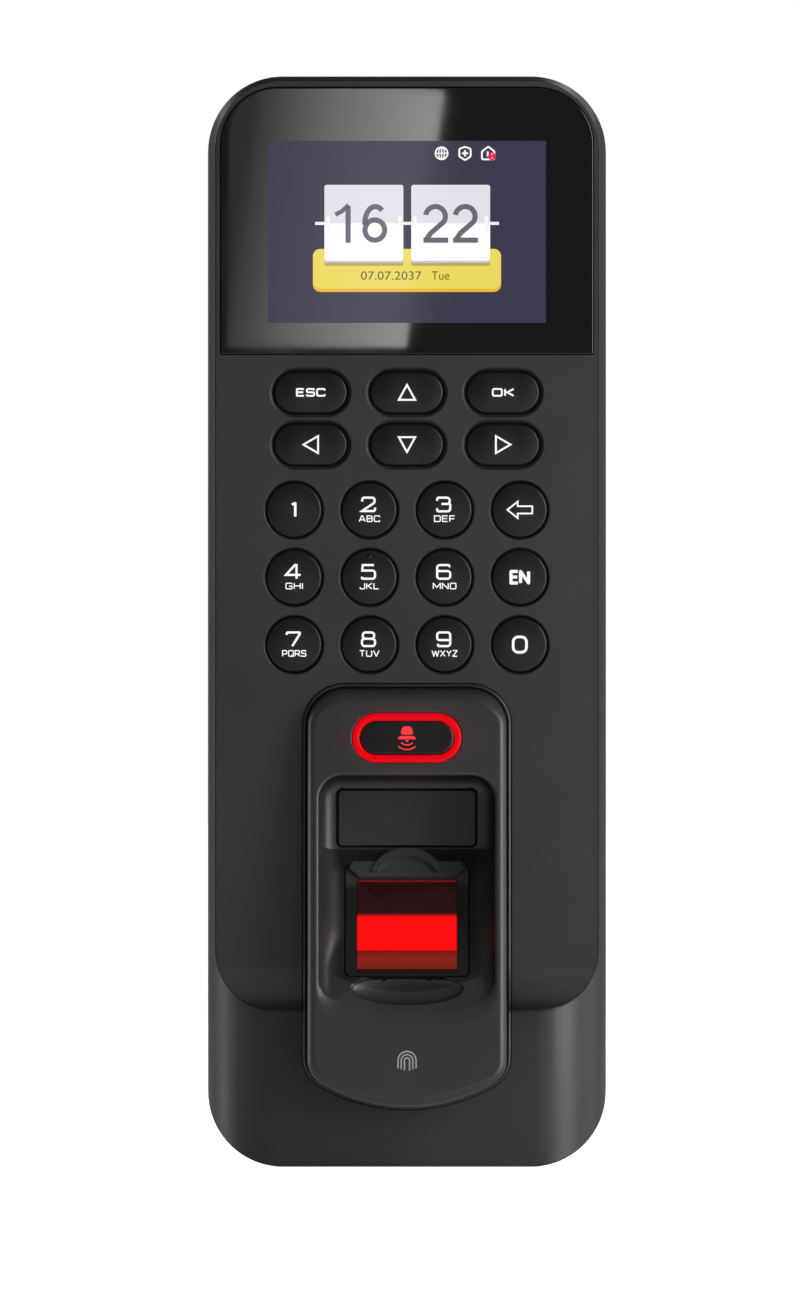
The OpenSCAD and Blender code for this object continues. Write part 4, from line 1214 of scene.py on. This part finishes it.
# Pale card behind the camera, which the display window mirrors on its left side.
MIRROR_D = COVER_D + (DISTANCE + 0.08) / MM
CARD_LEFT, CARD_BOTTOM, CARD_TOP = -29.7, 45.0, 91.0
FADE_LOW, FADE_HIGH = (-0.1, 44.7), (5.7, 87.8)


def mirrored(x, y):
    """Where the camera sees a point of the window's face reflected."""
    ratio = 1 + (MIRROR_D - COVER_D) * MM / DISTANCE
    return VIEW_X + (x - VIEW_X) * ratio, VIEW_Y + (y - VIEW_Y) * ratio, MIRROR_D


card_outline = [(CARD_LEFT, CARD_BOTTOM, 0), (-0.06, CARD_BOTTOM, 0), (6.1, CARD_TOP, 0),
                (-14.0, CARD_TOP, 0), (CARD_LEFT, 86.9)]
card_corners = [mirrored(*p) for p in fillet(card_outline, 9.0, True, 12)]
card, card_tree, card_shader = flat_sheet("pale_card", world(card_corners).tolist())
card.visible_camera = False
card.visible_diffuse = False
fade_start = np.array(mirrored(*FADE_HIGH)[:2])
fade_line = fade_start - np.array(mirrored(*FADE_LOW)[:2])
fade_normal = np.array([-fade_line[1], fade_line[0]]) / np.linalg.norm(fade_line)
fade_from = fade_normal @ fade_start * MM
across = along_line(card_tree, (fade_normal[0], 0, fade_normal[1]))
card_level = remap(card_tree, across, fade_from, fade_from + 0.062, 7.0, 0.6)
link(card_tree, card_level, card_shader.inputs["Emission Strength"])
card_shader.inputs["Base Color"].default_value = (0, 0, 0, 1)

FLOOR_SIZE = 8.0
floor_z = cad_box[0][2] - 0.0002
_, floor_tree, floor_shader = flat_sheet(
    "floor", [(x * FLOOR_SIZE, y * FLOOR_SIZE, floor_z) for x, y in ((-1, -1), (1, -1), (1, 1), (-1, 1))])
floor_shader.inputs["Base Color"].default_value = (0.8, 0.8, 0.8, 1)
floor_shader.inputs["Roughness"].default_value = 0.9
link(floor_tree, seen_level(floor_tree, 0.08), floor_shader.inputs["Emission Strength"])

studio = bpy.data.worlds.new("studio")
bpy.context.scene.world = studio
studio.use_nodes = True
background = studio.node_tree.nodes["Background"]
link(studio.node_tree, seen_level(studio.node_tree, 0.15), background.inputs["Strength"])
background.inputs["Color"].default_value = (1, 1, 1, 1)
bpy.context.scene.view_settings.view_transform = "Standard"
